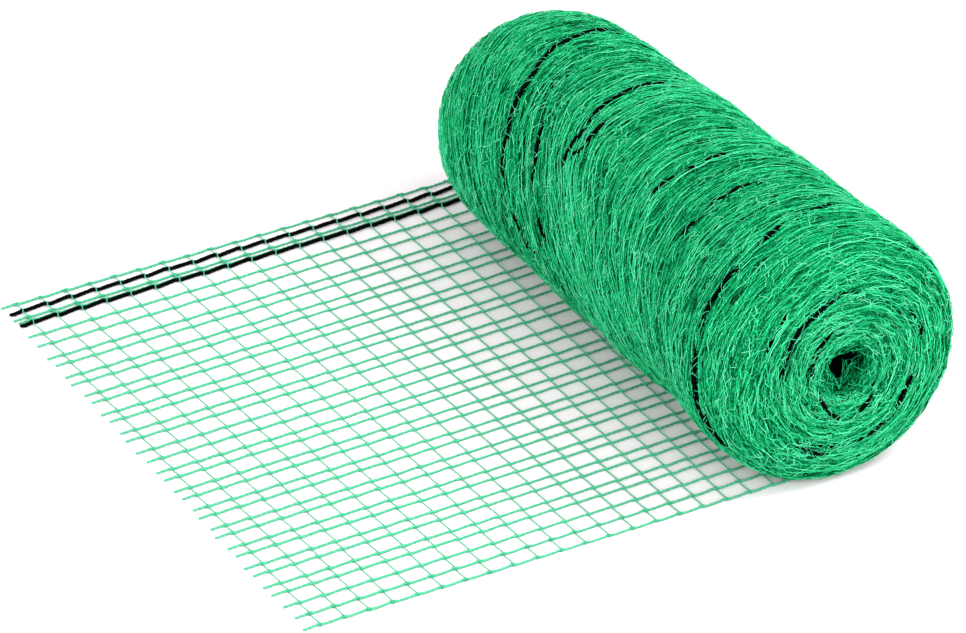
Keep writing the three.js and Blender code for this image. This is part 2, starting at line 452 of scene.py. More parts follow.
def yarn_colour_group():
    tree = bpy.data.node_groups.new("yarn_colour", "ShaderNodeTree")
    for label, value in (("Tone", 0.5), ("Grain", 0.3), ("Washed", 0.0)):
        socket = tree.interface.new_socket(label, in_out="INPUT", socket_type="NodeSocketFloat")
        socket.default_value = value
    tree.interface.new_socket("Color", in_out="OUTPUT", socket_type="NodeSocketColor")
    wires = Wiring(tree)
    given = wires.add("NodeGroupInput").outputs
    place = wires.add("ShaderNodeTexCoord").outputs["Object"]
    grain = wires.add("ShaderNodeTexNoise", {"Vector": place, "Scale": GRAIN_SCALE})
    spread = wires.times(wires.centred(grain.outputs["Fac"]), given["Grain"], 2.0)
    tone = wires.total(given["Tone"], spread)
    colour = ramp(wires, tone, [(row["tone"], row["shade"]) for row in YARN_SHADES])
    washed = mixed(wires, given["Washed"], colour, WASHED_GREEN)
    wires.feed(wires.add("NodeGroupOutput").inputs["Color"], washed)
    return tree


yarn_colour = yarn_colour_group()
print("yarn colour group:", [socket.name for socket in yarn_colour.interface.items_tree])

# %% Finishes of the green yarn
YARN_FINISHES = {
    "wound_strand": {"grain": 0.6, "washed": 0.0, "roughness": 0.55, "gloss": 0.02},
    "pale_thread": {"grain": 0.4, "washed": 0.0, "roughness": 0.5, "gloss": 0.05},
    "laid_yarn": {"grain": 0.3, "washed": 0.7, "roughness": 0.5, "gloss": 0.1},
}


def new_material(name):
    material = bpy.data.materials.new(name)
    material.use_nodes = True
    return material, Wiring(material.node_tree), material.node_tree.nodes["Principled BSDF"].inputs


def yarn_finish(name, grain, washed, roughness, gloss):
    """Green plastic yarn whose colour follows the strand's tone."""
    material, wires, shader = new_material(name)
    tone = wires.add("ShaderNodeAttribute", attribute_name="tone")
    group = wires.add("ShaderNodeGroup", node_tree=yarn_colour)
    wires.feed(group.inputs["Tone"], tone.outputs["Fac"])
    group.inputs["Grain"].default_value = grain
    group.inputs["Washed"].default_value = washed
    wires.feed(shader["Base Color"], group)
    shader["Roughness"].default_value = roughness
    shader["Specular IOR Level"].default_value = gloss
    return material


strand_finish, thread_finish, laid_finish = (
    yarn_finish(name, **values) for name, values in YARN_FINISHES.items()
)
print("yarn finishes:", ", ".join(YARN_FINISHES))

# %% [markdown]
# The black cords are twisted and matt. The twist is real geometry, so a plain black would nearly
# do, but the fibres catch a little light. Fine noise paints that as a faint painted sheen in their
# colour, and breaks up their surface with bumps.

# %% Finish of the black cords
CORD_DARK = (0.0002, 0.0003, 0.0003, 1)
CORD_FIBRE_SHEEN = (0.0016, 0.0028, 0.0022, 1)
CORD_SHEEN_STOPS = (0.3, 0.75)
FIBRE_SCALE = 1500.0
FIBRE_RELIEF = 0.0004


def cord_finish():
    material, wires, shader = new_material("black_cord")
    place = wires.add("ShaderNodeTexCoord").outputs["Object"]
    noise = wires.add("ShaderNodeTexNoise", {"Vector": place, "Scale": FIBRE_SCALE, "Detail": 2.0})
    fibre = noise.outputs["Fac"]
    # The lighter end of this ramp is a painted sheen on the fibres.
    colour = ramp(wires, fibre, [(CORD_SHEEN_STOPS[0], CORD_DARK), (CORD_SHEEN_STOPS[1], CORD_FIBRE_SHEEN)])
    wires.feed(shader["Base Color"], colour)
    bump = wires.add("ShaderNodeBump", {"Height": fibre, "Strength": 0.5, "Distance": FIBRE_RELIEF})
    wires.feed(shader["Normal"], bump)
    shader["Roughness"].default_value = 0.55
    shader["Specular IOR Level"].default_value = 0.01
    return material


black_finish = cord_finish()
print("cord finish:", black_finish.name)

# %% [markdown]
# Deep turns close the view between the strands. Strands all the way down would take millions of
# triangles, so the deep turns are one closed skin under the guide, out over the roll and back
# through its core. Their finish draws the threads that no longer pay as geometry: the level
# lines of a stretched noise field are long winding threads, and several such fields at
# different slants make a felt of them. Inside the core the felt goes dark, as no light gets in.

# %% Finish of the deep turns
FELT_LAYERS = [
    {"slant": 0, "along": 0.07, "across": 0.6, "width": 0.05, "shade": (0.001, 0.28, 0.085, 1)},
    {"slant": 17, "along": 0.08, "across": 0.6, "width": 0.045, "shade": (0.003, 0.4, 0.13, 1)},
    {"slant": -24, "along": 0.08, "across": 0.5, "width": 0.035, "shade": (0.01, 0.48, 0.18, 1)},
    {"slant": 55, "along": 0.14, "across": 0.4, "width": 0.02, "shade": (0.05, 0.6, 0.28, 1)},
]
# The felt's base colour is nearly black: painted shade deep among the turns, showing between its
# threads.
FELT_SHADE_BASE = (0.0003, 0.09, 0.026, 1)
FELT_APART = (37.0, 91.0, 5.0)
FELT_RELIEF = 0.0006
MAP_SIZE_MM = (580, 700, 1)
NEAR_CORE_LIGHT = {"low": 0.034, "high": 0.072, "start": 0.03, "end": 1.0}
FAR_CORE_LIGHT = {"low": 0.95, "high": 0.98, "start": 1.0, "end": 0.03}


def thread_lines_group():
    """Winding thin lines along a field's level. Size stretches them, Slant turns them."""
    tree = bpy.data.node_groups.new("thread_lines", "ShaderNodeTree")
    inputs = (("Vector", "Vector"), ("Slant", "Vector"), ("Size", "Vector"), ("Width", "Float"))
    for label, kind in inputs:
        tree.interface.new_socket(label, in_out="INPUT", socket_type="NodeSocket" + kind)
    tree.interface.new_socket("Mask", in_out="OUTPUT", socket_type="NodeSocketFloat")
    wires = Wiring(tree)
    given = wires.add("NodeGroupInput").outputs
    turned = wires.add("ShaderNodeMapping", {"Vector": given["Vector"], "Rotation": given["Slant"]})
    sized = wires.vmath("MULTIPLY", turned, given["Size"])
    field = wires.add("ShaderNodeTexNoise", {"Vector": sized, "Scale": 1.0, "Detail": 1.0})
    away = wires.math("ABSOLUTE", wires.centred(field.outputs["Fac"]))
    mask = wires.smooth(away, 0.0, given["Width"], 1.0, 0.0)
    wires.feed(wires.add("NodeGroupOutput").inputs["Mask"], mask)
    return tree


def felt_threads(wires, place, step, layer):
    """One field of threads: a mask that is 1 on a thread."""
    lines = wires.add("ShaderNodeGroup", node_tree=thread_lines)
    apart = tuple(part * step for part in FELT_APART)
    wires.feed(lines.inputs["Vector"], wires.vmath("ADD", place, apart))
    lines.inputs["Slant"].default_value = (0, 0, math.radians(layer["slant"]))
    lines.inputs["Size"].default_value = (layer["along"], layer["across"], 1)
    lines.inputs["Width"].default_value = layer["width"]
    return lines.outputs["Mask"]


def deep_finish():
    material, wires, shader = new_material("deep_turns")
    spot = wires.add("ShaderNodeTexCoord").outputs["UV"]
    place = wires.vmath("MULTIPLY", spot, MAP_SIZE_MM)
    colour = FELT_SHADE_BASE
    height = 0.0
    for step, layer in enumerate(FELT_LAYERS):
        mask = felt_threads(wires, place, step, layer)
        colour = mixed(wires, mask, colour, layer["shade"])
        height = wires.math("MAXIMUM", height, mask)
    row = wires.add("ShaderNodeSeparateXYZ", {"Vector": spot}).outputs["Y"]
    light = wires.times(wires.smooth(row, **NEAR_CORE_LIGHT), wires.smooth(row, **FAR_CORE_LIGHT))
    wires.feed(shader["Base Color"], wires.vmath("SCALE", colour, scale=light))
    bump = wires.add("ShaderNodeBump", {"Height": height, "Strength": 0.7, "Distance": FELT_RELIEF})
    wires.feed(shader["Normal"], bump)
    shader["Roughness"].default_value = 0.6
    shader["Specular IOR Level"].default_value = 0.02
    return material


thread_lines = thread_lines_group()
felt_finish = deep_finish()
print("felt of", len(FELT_LAYERS), "thread fields")

# %% [markdown]
# The skin of the deep turns is built from the guide's own rings, drawn in a little deeper than
# the strands reach, and a few rings more close it through the core. Thickening the guide with a
# Solidify modifier would leave a rim inside the core at each end. A loop of rings has no rim,
# and its faces point outwards all the way round.

# %% Deep turns
BODY_INSET = 2.4 * MM
FLOOR_GAP = 0.3 * MM
INNER_CORE = [100, 200, 300, 400]
INNER_SHARES = [1.1, 1.2, 1.3, 1.4, 1.5]


def ring_normals(loop):
    """Outward normals of a closed loop of closed rings."""
    along = np.roll(loop, -1, axis=0) - np.roll(loop, 1, axis=0)
    around = np.roll(loop, -1, axis=1) - np.roll(loop, 1, axis=1)
    normals = np.cross(along, around)
    return normals / np.maximum(np.linalg.norm(normals, axis=2, keepdims=True), 1e-9)


def deep_turns_mesh():
    """The guide's rings, drawn in by the inset and closed through the core."""
    rings = guide[:, :-1]
    core = [
        [ray_hit("core", along, 0, column_angle(column)) for column in range(GUIDE_COLUMNS)]
        for along in reversed(INNER_CORE)
    ]
    loop = np.concatenate([rings, np.array(core)])
    loop = loop - ring_normals(loop) * BODY_INSET
    loop[..., 2] = np.maximum(loop[..., 2], FLOOR_GAP)
    rows, columns = loop.shape[:2]
    shares = list(guide_shares) + INNER_SHARES
    mesh = bpy.data.meshes.new("deep_turns")
    corners = [(0, 0), (1, 0), (1, 1), (0, 1)]
    places = [[(r + dr, c + dc) for dr, dc in corners] for r in range(rows) for c in range(columns)]
    faces = [[(r % rows) * columns + c % columns for r, c in face] for face in places]
    mesh.from_pydata(loop.reshape(-1, 3).tolist(), [], faces)
    uv = mesh.uv_layers.new(name="wound_map")
    spots = [(c / columns, shares[r]) for face in places for r, c in face]
    uv.data.foreach_set("uv", np.array(spots, dtype=np.float32).ravel())
    mesh.materials.append(felt_finish)
    mesh.shade_smooth()
    return mesh


deep_turns = add_piece("deep_turns", [deep_turns_mesh()])
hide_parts("net_roll")
probe = deep_turns.data.polygons[len(guide) * GUIDE_COLUMNS // 2]
print("deep turns face out:", (probe.center - axis_point(ROLL_LENGTH / 2)).dot(probe.normal) > 0)

# %% [markdown]
# The outer turns are strands that run round the roll. A real strand isn't a neat ring: it winds
# in a spiral, leans where the netting was pulled askew, gathers with its neighbours into bunches
# and wanders across them. A cloth simulation could wind up a real net, but forty turns with
# thousands of cells would take far too long. So a tree places each point on the flat map, adds
# those shifts there, and then looks up the place on the guide skin. All strands hug the wound
# form that way. In lens-shaped patches the strands below the topmost are painted dark, as
# painted shade, as if the turns had parted there.

# %% Helper for yarn
class YarnWiring(Wiring):
    """Wiring for trees that make strands and threads."""

    def chance(self, seed, which, number):
        """A random number from 0 to 1, one for each strand."""
        salt = self.math("ADD", seed, float(number))
        return self.add("FunctionNodeRandomValue", {"ID": which, "Seed": salt})

    def mark(self, name, kind="FLOAT"):
        """A value that the mesh carries under a name."""
        return self.add("GeometryNodeInputNamedAttribute", {"Name": name}, data_type=kind)

    def copies(self, curves, amount):
        """Copies of the curves in place, and the number of the copy at each point."""
        feeds = {"Geometry": curves, "Amount": amount}
        many = self.add("GeometryNodeDuplicateElements", feeds, domain="SPLINE")
        return many.outputs["Geometry"], many.outputs["Duplicate Index"]

    def blank_strands(self, points, amount):
        """Strands of so many points each, still to be laid, and the number of each."""
        line = self.add("GeometryNodeCurvePrimitiveLine")
        drawn = self.add("GeometryNodeResampleCurve", {"Curve": line, "Count": points})
        return self.copies(drawn, amount)

    def finish_tubes(self, curves, tone, sides, radius, finish, scale=1.0):
        """Ends a tree: the curves get their tone, a round section and a finish."""
        marked = {"Geometry": curves, "Name": "tone", "Value": tone}
        toned = self.add("GeometryNodeStoreNamedAttribute", marked)
        round_section = {"Resolution": sides, "Radius": radius}
        section = self.add("GeometryNodeCurvePrimitiveCircle", round_section)
        feeds = {"Curve": toned, "Profile Curve": section, "Scale": scale, "Fill Caps": True}
        tube = self.add("GeometryNodeCurveToMesh", feeds)
        smooth = self.add("GeometryNodeSetShadeSmooth", {"Geometry": tube})
        real = self.add("GeometryNodeRealizeInstances", {"Geometry": smooth})
        dressed = self.add("GeometryNodeSetMaterial", {"Geometry": real, "Material": finish})
        self.feed(self.add("NodeGroupOutput").inputs["Geometry"], dressed)


# %% Helper for trees on the guide skin
FULL_LEAN = 0.095
LEAN_GROWS = (10, 270)
LEAN_EASES = (280, 400, 1.0, 0.6)
LEAN_TOP = (80, 400, 0.605, 0.535)
LEAN_FRONT = (0.0, 0.27)
LEAN_BACK = (0.36, 0.97, 1.0, 0.0)
# Patches of painted shade where the turns seem to have parted: how many round the roll, how wide from
# row to row, and how soft their edge is.
GAP_SHADES_ROUND = 5.4
GAP_SHADE_WIDTH = 0.0064
GAP_SHADE_EDGE = (0.25, 0.38)


class MapWiring(YarnWiring):
    """Wiring for trees that lay points on the guide skin by its map."""

    def look_up(self, skin, spot, field, kind="FLOAT_VECTOR"):
        """A field's value at one spot of the skin's map."""
        uv = self.mark("wound_map", "FLOAT_VECTOR")
        feeds = {"Mesh": skin, "Value": field, "UV Map": uv, "Sample UV": spot}
        node = self.add("GeometryNodeSampleUVSurface", data_type=kind)
        for key, value in feeds.items():
            self.feed(self.socket(node.inputs, key), value)
        return self.socket(node.outputs, "Value")

    def look_up_mark(self, skin, spot, name):
        return self.look_up(skin, spot, self.mark(name), "FLOAT")

    def smooth_along(self, along, low, high, start=0.0, end=1.0):
        """A smooth step between two places along the roll, in millimetres."""
        return self.smooth(along, (ROLL_START_Y + low) * MM, (ROLL_START_Y + high) * MM, start, end)

    def lean(self, along, turn):
        """How far the askew netting has shifted at one place: most low on the front."""
        far = self.smooth_along(along, *LEAN_GROWS)
        end = self.smooth_along(along, *LEAN_EASES)
        top = self.smooth_along(along, *LEAN_TOP)
        down = self.math("FRACT", self.math("SUBTRACT", turn, top))
        front = self.smooth(down, *LEAN_FRONT)
        back = self.smooth(down, *LEAN_BACK)
        return self.times(far, end, front, back, -FULL_LEAN)

    def patches(self, angle, row, across, width, detail=1.0):
        """Soft noise on the map that closes round the roll. width is its size from row to row."""
        x = self.times(self.math("COSINE", angle), across)
        y = self.times(self.math("SINE", angle), across)
        return self.noise(x, y, self.times(row, GUIDE_LENGTH / width), detail)

    def gap(self, angle, row):
        """From 0 to 1 in lens-shaped patches along the strands, where painted shade darkens them."""
        return self.smooth(self.patches(angle, row, GAP_SHADES_ROUND, GAP_SHADE_WIDTH), *GAP_SHADE_EDGE)

    def on_skin(self, skin, spot, lift, floor):
        """The place on the skin at a spot of the map, raised by lift and kept off the floor."""
        place = self.look_up(skin, spot, self.add("GeometryNodeInputPosition"))
        normal = self.look_up(skin, spot, self.add("GeometryNodeInputNormal").outputs["Normal"])
        raised = self.vmath("ADD", place, self.vmath("SCALE", normal, scale=lift))
        parts = self.add("ShaderNodeSeparateXYZ", {"Vector": raised}).outputs
        return self.vector(parts["X"], parts["Y"], self.math("MAXIMUM", parts["Z"], floor))


print("the netting leans by up to", FULL_LEAN, "m, and gaps are about", GAP_SHADE_WIDTH, "m wide")

# %% [markdown]
# Each shift of a wound strand is a small function of its own. The spiral moves a strand inwards
# by one pitch in its turn, on both end faces. The wander is noise along the strand, and the
# slack front of the roll has more of it. The level says how high a strand lies in its layer, and
# it waves, so strands pass over and under each other. One big formula would do the same, but
# nobody could tune it against the real roll.

# %% Shifts of a wound strand
NEAR_FACE = (3, 18, 1.0, 0.0)
FAR_FACE = (425, 450)
SLACK_SIDE = math.radians(300)
SLACK_GAIN = 1.2
SLACK_LEAST = 0.8
KEEN_GAIN = 1.6
KEEN_LEAST = 0.45
WANDER_DETAIL = 3.5
STRANDS_APART = 3.71
LAYERS_APART = 1.3
WAVES = {"often": 3.5, "apart": 5.3, "salt": 9.0}
GLINTS = {"often": 4.5, "apart": 6.1, "salt": 4.0}
WAVE_HEIGHT = 1.1
LEVEL_GAIN = 0.6
LEVEL_LEAST = 0.2


def strand_home(wires, given, strand, share):
    """Where the strand would lie if it were a neat ring: its way round, and its row."""
    seed = given["Seed"]
    around = wires.math("MULTIPLY_ADD", share, given["Turn"], wires.chance(seed, strand, 1))
    number = wires.math("ADD", strand, wires.chance(seed, strand, 2))
    spaced = wires.math("DIVIDE", number, given["Strands"])
    return around, wires.between(spaced, given["Start"], given["End"])


def strand_spiral(wires, along, share):
    near = wires.smooth_along(along, *NEAR_FACE)
    far = wires.smooth_along(along, *FAR_FACE)
    inwards = wires.math("SUBTRACT", far, near)
    return wires.times(wires.centred(share), inwards, RIDGE_PITCH)


def strand_wander(wires, given, strand, angle, walk):
    seed = given["Seed"]
    slack = wires.math("COSINE", wires.math("SUBTRACT", angle, SLACK_SIDE))
    slack = wires.math("MAXIMUM", slack, 0.0)
    slack = wires.math("MULTIPLY_ADD", slack, SLACK_GAIN, SLACK_LEAST)
    apart = wires.times(strand, STRANDS_APART)
    own = wires.noise(walk, apart, wires.times(seed, LAYERS_APART), WANDER_DETAIL)
    keen = wires.math("POWER", wires.chance(seed, strand, 6), 2.0)
    own = wires.times(own, wires.math("MULTIPLY_ADD", keen, KEEN_GAIN, KEEN_LEAST))
    return wires.times(own, given["Wander"], slack)


def noise_along(wires, walk, strand, often, apart, salt):
    """Noise along a strand. Strands lie apart in its field, so no two are alike."""
    return wires.noise(wires.times(walk, often), wires.times(strand, apart), salt)


def strand_level(wires, given, strand, walk):
    waves = noise_along(wires, walk, strand, **WAVES)
    own = wires.chance(given["Seed"], strand, 3)
    rise = wires.math("MULTIPLY_ADD", own, LEVEL_GAIN, LEVEL_LEAST)
    return wires.math("MULTIPLY_ADD", waves, WAVE_HEIGHT, rise)


print("a strand winds inwards by", RIDGE_PITCH, "m on each end face")

# %% [markdown]
# A strand's tone is painted light and shade, how much light reaches it, with a random share of
# its own. It is summed from the strand's level, its own chance, the ridge under it and the gaps,
# and strands inside the core are painted dark. A picture painted over the roll could show the
# same shades, but a number on each strand stays with the strand wherever it wanders.

# %% Tone of a wound strand
# Painted light and shade: a higher level is lighter, the ridge lighter on its crest and darker in its
# valley, glints are painted highlights along the strand, the gaps darken strands under a parting, and
# the core darkens strands inside it. own and dark differ at random, and bands follow the bunches.
TONE_WEIGHTS = {
    "level": 0.25, "own": 0.42, "dark": -0.25, "glints": 0.4, "bands": 0.22, "inside": 1.0,
    "ridge": 0.16, "gap": -0.46,
}
# Strands inside the core are painted dark: painted shade.
NEAR_CORE_SHADE = (0.048, 0.072, -0.75, 0.0)
FAR_CORE_SHADE = (0.955, 0.98, 0.0, -0.75)
TOPMOST = 0.8


def strand_tone(wires, given, strand, walk, row, shades):
    """The tone at each point, from the shades that the tree knows and those of the strand: painted
    light and shade, with a random share.
    """
    seed = given["Seed"]
    under = wires.math("LESS_THAN", wires.chance(seed, strand, 3), TOPMOST)
    shades["own"] = wires.centred(wires.chance(seed, strand, 5))
    shades["dark"] = wires.math("LESS_THAN", wires.chance(seed, strand, 4), given["Dark Share"])
    shades["glints"] = noise_along(wires, walk, strand, **GLINTS)
    shades["inside"] = wires.total(wires.smooth(row, *NEAR_CORE_SHADE), wires.smooth(row, *FAR_CORE_SHADE))
    shades["gap"] = wires.times(shades["gap"], under)
    weighed = [wires.times(shades[name], weight) for name, weight in TONE_WEIGHTS.items()]
    return wires.total(given["Tone"], *weighed)


print("tone is summed from", ", ".join(TONE_WEIGHTS))

# %% Tree for wound strands
HOME_SIDE = 0.25
BANDS_ROUND = 2.6
BAND_WIDTH = 0.013
BAND_DETAIL = 1.5
MAP_ROWS = (0.045, 0.985)
WOUND_DEFAULTS = {
    "Strands": 100, "Points": 90, "Turn": 1.0, "Start": 0.05, "End": 0.972, "Low": -0.001,
    "High": 0.001, "Wander": 0.004, "Wander Size": 0.05, "Bunch": 0.004, "Radius": 0.0004,
    "Dark Share": 0.2, "Tone": 0.5, "Seed": 1, "Finish": strand_finish,
}


def wound_tree():
    tree = node_tree("wound_strands", WOUND_DEFAULTS)
    wires = MapWiring(tree)
    given = wires.add("NodeGroupInput").outputs
    skin = given["Geometry"]
    strands, strand = wires.blank_strands(given["Points"], given["Strands"])
    share = wires.add("GeometryNodeSplineParameter").outputs["Factor"]

    # Home: a neat ring
    around, home = strand_home(wires, given, strand, share)
    turn = wires.math("FRACT", around)
    angle = wires.times(around, 2 * math.pi)
    home_spot = wires.vector(HOME_SIDE, home, 0.0)
    girth = wires.look_up_mark(skin, home_spot, "girth")
    along = wires.look_up_mark(skin, home_spot, "along")
    walk = wires.math("DIVIDE", wires.math("MULTIPLY", around, girth), given["Wander Size"])

    # Shift: away from home on the map
    bands = wires.patches(angle, home, BANDS_ROUND, BAND_WIDTH, BAND_DETAIL)
    shift = wires.total(
        wires.lean(along, turn), strand_spiral(wires, along, share),
        wires.times(bands, given["Bunch"]), strand_wander(wires, given, strand, angle, walk),
    )
    row = wires.math("ADD", home, wires.math("DIVIDE", shift, GUIDE_LENGTH))
    row = wires.keep_in(row, *MAP_ROWS)
    spot = wires.vector(turn, row, 0.0)

    # Place: from the map to the roll
    level = strand_level(wires, given, strand, walk)
    lift = wires.between(level, given["Low"], given["High"])
    place = wires.on_skin(skin, spot, lift, given["Radius"])
    laid = wires.add("GeometryNodeSetPosition", {"Geometry": strands, "Position": place})

    # Painted light and shade from the tree: the level, the ridge and the gaps.
    shades = {
        "level": wires.centred(level), "bands": bands, "gap": wires.gap(angle, row),
        "ridge": wires.look_up_mark(skin, spot, "ridge"),
    }
    tone = strand_tone(wires, given, strand, walk, row, shades)
    wires.finish_tubes(laid, tone, 3, given["Radius"], given["Finish"])
    return tree


wound_strands = wound_tree()
print("wound tree:", len(wound_strands.nodes), "nodes")

# %% [markdown]
# Three layers of strands lie over the deep turns. The deep ones are thick and coarse, and the
# outer ones thin and fine, so the triangles go where they show. The deep ones get a lower tone,
# as painted shade, and the outer ones a higher tone, as painted light. One layer of equal strands
# would look flat, because no strand would lie in another's shade.

# %% Wound strands, in layers
LAYERS = {
    "turns_deep": {
        "Seed": 11, "Strands": 180, "Points": 64, "Low": -0.0022, "High": -0.0006,
        "Wander": 0.008, "Bunch": 0.005, "Tone": 0.36, "Radius": 0.00045,
    },
    "turns_middle": {
        "Seed": 23, "Strands": 270, "Points": 96, "Low": -0.0012, "High": 0.0006,
        "Wander": 0.010, "Bunch": 0.005, "Tone": 0.44, "Radius": 0.00038,
    },
    "turns_outer": {
        "Seed": 37, "Strands": 250, "Points": 130, "Low": -0.0004, "High": 0.0013,
        "Wander": 0.009, "Bunch": 0.005, "Tone": 0.54, "Radius": 0.0003,
    },
}
for name, values in LAYERS.items():
    add_piece(name, [grow(name, wound_strands, wound_guide, values)])

# %% [markdown]
# Cross threads of the netting show all over the roll as fine, pale, curly bits, because the
# turns lie slack and the thin threads kink. Hair could make them, but a hair stands on its
# root, and these threads lie with both ends loose. So each is a short curve with its own heading
# on the map. A little of it stands off the surface, which gives the roll its fuzzy outline.

# %% Tree for loose threads
LOOSE_DEFAULTS = {
    "Threads": 100, "Points": 8, "Length": 0.014, "Start": 0.05, "End": 0.95, "Heading": 1.0,
    "Spread": 0.8, "Curl": 0.0012, "Curl Size": 0.004, "Low": 0.0, "High": 0.001, "Arch": 0.001,
    "Radius": 0.0002, "Tone": 0.8, "Seed": 1, "Finish": thread_finish,
}
LOOSE_ROWS = (0.002, 0.998)
LENGTH_GAIN = 0.9
LENGTH_LEAST = 0.55
CURLS = (("COSINE", 2.17, 3.1), ("SINE", 2.93, 5.7))
LOOSE_TONE_SPREAD = 0.6
LOOSE_GAP_SHADE = -0.4


def loose_heading(wires, given, thread):
    """The way a thread runs on the map: to one side or the other, with some spread."""
    seed = given["Seed"]
    side = wires.math("SIGN", wires.centred(wires.chance(seed, thread, 6)))
    swing = wires.times(wires.centred(wires.chance(seed, thread, 7)), given["Spread"], 2.0)
    return wires.math("ADD", wires.times(side, given["Heading"]), swing)


def loose_ways(wires, given, thread, share):
    """How far a point lies from the thread's middle, round the roll and along it."""
    seed = given["Seed"]
    heading = loose_heading(wires, given, thread)
    own = wires.chance(seed, thread, 8)
    size = wires.math("MULTIPLY_ADD", own, LENGTH_GAIN, LENGTH_LEAST)
    reach = wires.times(wires.centred(share), given["Length"], size)
    walk = wires.math("DIVIDE", wires.times(share, given["Length"], size), given["Curl Size"])
    ways = []
    for turned, apart, salt in CURLS:
        curl = wires.noise(walk, wires.times(thread, apart), wires.times(seed, salt))
        straight = wires.times(reach, wires.math(turned, heading))
        ways.append(wires.total(straight, wires.times(curl, given["Curl"])))
    return ways


def loose_tree():
    tree = node_tree("loose_threads", LOOSE_DEFAULTS)
    wires = MapWiring(tree)
    given = wires.add("NodeGroupInput").outputs
    skin, seed = given["Geometry"], given["Seed"]
    threads, thread = wires.blank_strands(given["Points"], given["Threads"])
    share = wires.add("GeometryNodeSplineParameter").outputs["Factor"]
    home = wires.between(wires.chance(seed, thread, 2), given["Start"], given["End"])
    girth = wires.look_up_mark(skin, wires.vector(HOME_SIDE, home, 0.0), "girth")

    round_way, long_way = loose_ways(wires, given, thread, share)
    turn = wires.math("ADD", wires.chance(seed, thread, 1), wires.math("DIVIDE", round_way, girth))
    turn = wires.math("FRACT", turn)
    row = wires.math("ADD", home, wires.math("DIVIDE", long_way, GUIDE_LENGTH))
    row = wires.keep_in(row, *LOOSE_ROWS)

    bow = wires.math("SINE", wires.times(share, math.pi))
    arch = wires.times(bow, wires.chance(seed, thread, 9), given["Arch"])
    rise = wires.between(wires.chance(seed, thread, 3), given["Low"], given["High"])
    lift = wires.math("ADD", rise, arch)
    place = wires.on_skin(skin, wires.vector(turn, row, 0.0), lift, given["Radius"])
    laid = wires.add("GeometryNodeSetPosition", {"Geometry": threads, "Position": place})

    own = wires.times(wires.centred(wires.chance(seed, thread, 5)), LOOSE_TONE_SPREAD)
    # In the same patches the threads are painted darker: painted shade, as if the turns had parted.
    gap = wires.times(wires.gap(wires.times(turn, 2 * math.pi), row), LOOSE_GAP_SHADE)
    tone = wires.total(given["Tone"], own, gap)
    wires.finish_tubes(laid, tone, 3, given["Radius"], given["Finish"])
    return tree


loose_threads = loose_tree()
print("loose tree:", len(loose_threads.nodes), "nodes")

# %% Loose threads
THREADS = {
    "cross_threads": {
        "Seed": 5, "Threads": 5200, "Points": 5, "Length": 0.0075, "Low": 0.0003,
        "High": 0.0013, "Start": 0.07, "End": 0.96, "Heading": 0.45, "Spread": 0.8,
        "Curl": 0.0024, "Curl Size": 0.0032, "Tone": 0.78,
    },
    "curled_threads": {
        "Seed": 9, "Threads": 4600, "Points": 6, "Length": 0.0105, "Low": 0.0, "High": 0.0012,
        "Start": 0.07, "End": 0.96, "Heading": 0.2, "Spread": 0.65, "Curl": 0.0026,
        "Curl Size": 0.0036, "Arch": 0.0009, "Radius": 0.00026, "Tone": 0.6,
    },
    # The curls in the core get a low tone: painted shade.
    "core_curls": {
        "Seed": 31, "Threads": 70, "Points": 12, "Length": 0.020, "Low": 0.0, "High": 0.0015,
        "Start": 0.04, "End": 0.066, "Heading": 0.2, "Spread": 0.9, "Curl": 0.004,
        "Curl Size": 0.006, "Arch": 0.0015, "Radius": 0.0003, "Tone": 0.35,
    },
}
for name, values in THREADS.items():
    add_piece(name, [grow(name, loose_threads, wound_guide, values)])

# %% [markdown]
# All remaining yarns follow a drawn path: the laid strands, the black cords and the ends. A path
# is a chain of points with two numbers at each, thick and tint. A curve with a round section
# would give smooth wires. One tree turns any set of paths into twisted yarn instead, by laying
# several plies round each path in a helix.

# %% Paths as meshes
def path_mesh(name, paths):
    """A mesh of plain chains of points. Each path is rows of x, y, z, thick, tint in mm."""
    points, edges = [], []
    for path in paths:
        start = len(points)
        points.extend(path)
        edges.extend((start + k, start + k + 1) for k in range(len(path) - 1))
    table = np.array(points, dtype=float)
    mesh = bpy.data.meshes.new(name)
    mesh.from_pydata((table[:, :3] * MM).tolist(), edges, [])
    for column, label in ((3, "thick"), (4, "tint")):
        values = table[:, column].astype(np.float32)
        mesh.attributes.new(label, "FLOAT", "POINT").data.foreach_set("value", values)
    return mesh


# %% Tree for twisted yarn
YARN_DEFAULTS = {
    "Plies": 3, "Ply Radius": 0.0003, "Spread": 0.0003, "Pitch": 0.008, "Sides": 3,
    "Fuzz": 0.0001, "Fuzz Size": 0.003, "Tone": 0.5, "Tone Spread": 0.2, "Seed": 1,
    "Finish": laid_finish,
}
PLIES_APART = 0.37
SEEDS_APART = 0.11


def ply_twist(wires, given, ply, thick):
    """How far a ply lies beside its path, on a helix."""
    length = wires.add("GeometryNodeSplineParameter").outputs["Length"]
    turns = wires.math("DIVIDE", length, given["Pitch"])
    share = wires.math("ADD", turns, wires.math("DIVIDE", ply, given["Plies"]))
    angle = wires.times(share, 2 * math.pi)
    normal = wires.add("GeometryNodeInputNormal").outputs["Normal"]
    side = wires.vmath("CROSS_PRODUCT", wires.add("GeometryNodeInputTangent"), normal)
    out = wires.vmath("SCALE", normal, scale=wires.math("COSINE", angle))
    beside = wires.vmath("SCALE", side, scale=wires.math("SINE", angle))
    far = wires.math("MULTIPLY", given["Spread"], thick)
    return wires.vmath("SCALE", wires.vmath("ADD", out, beside), scale=far)


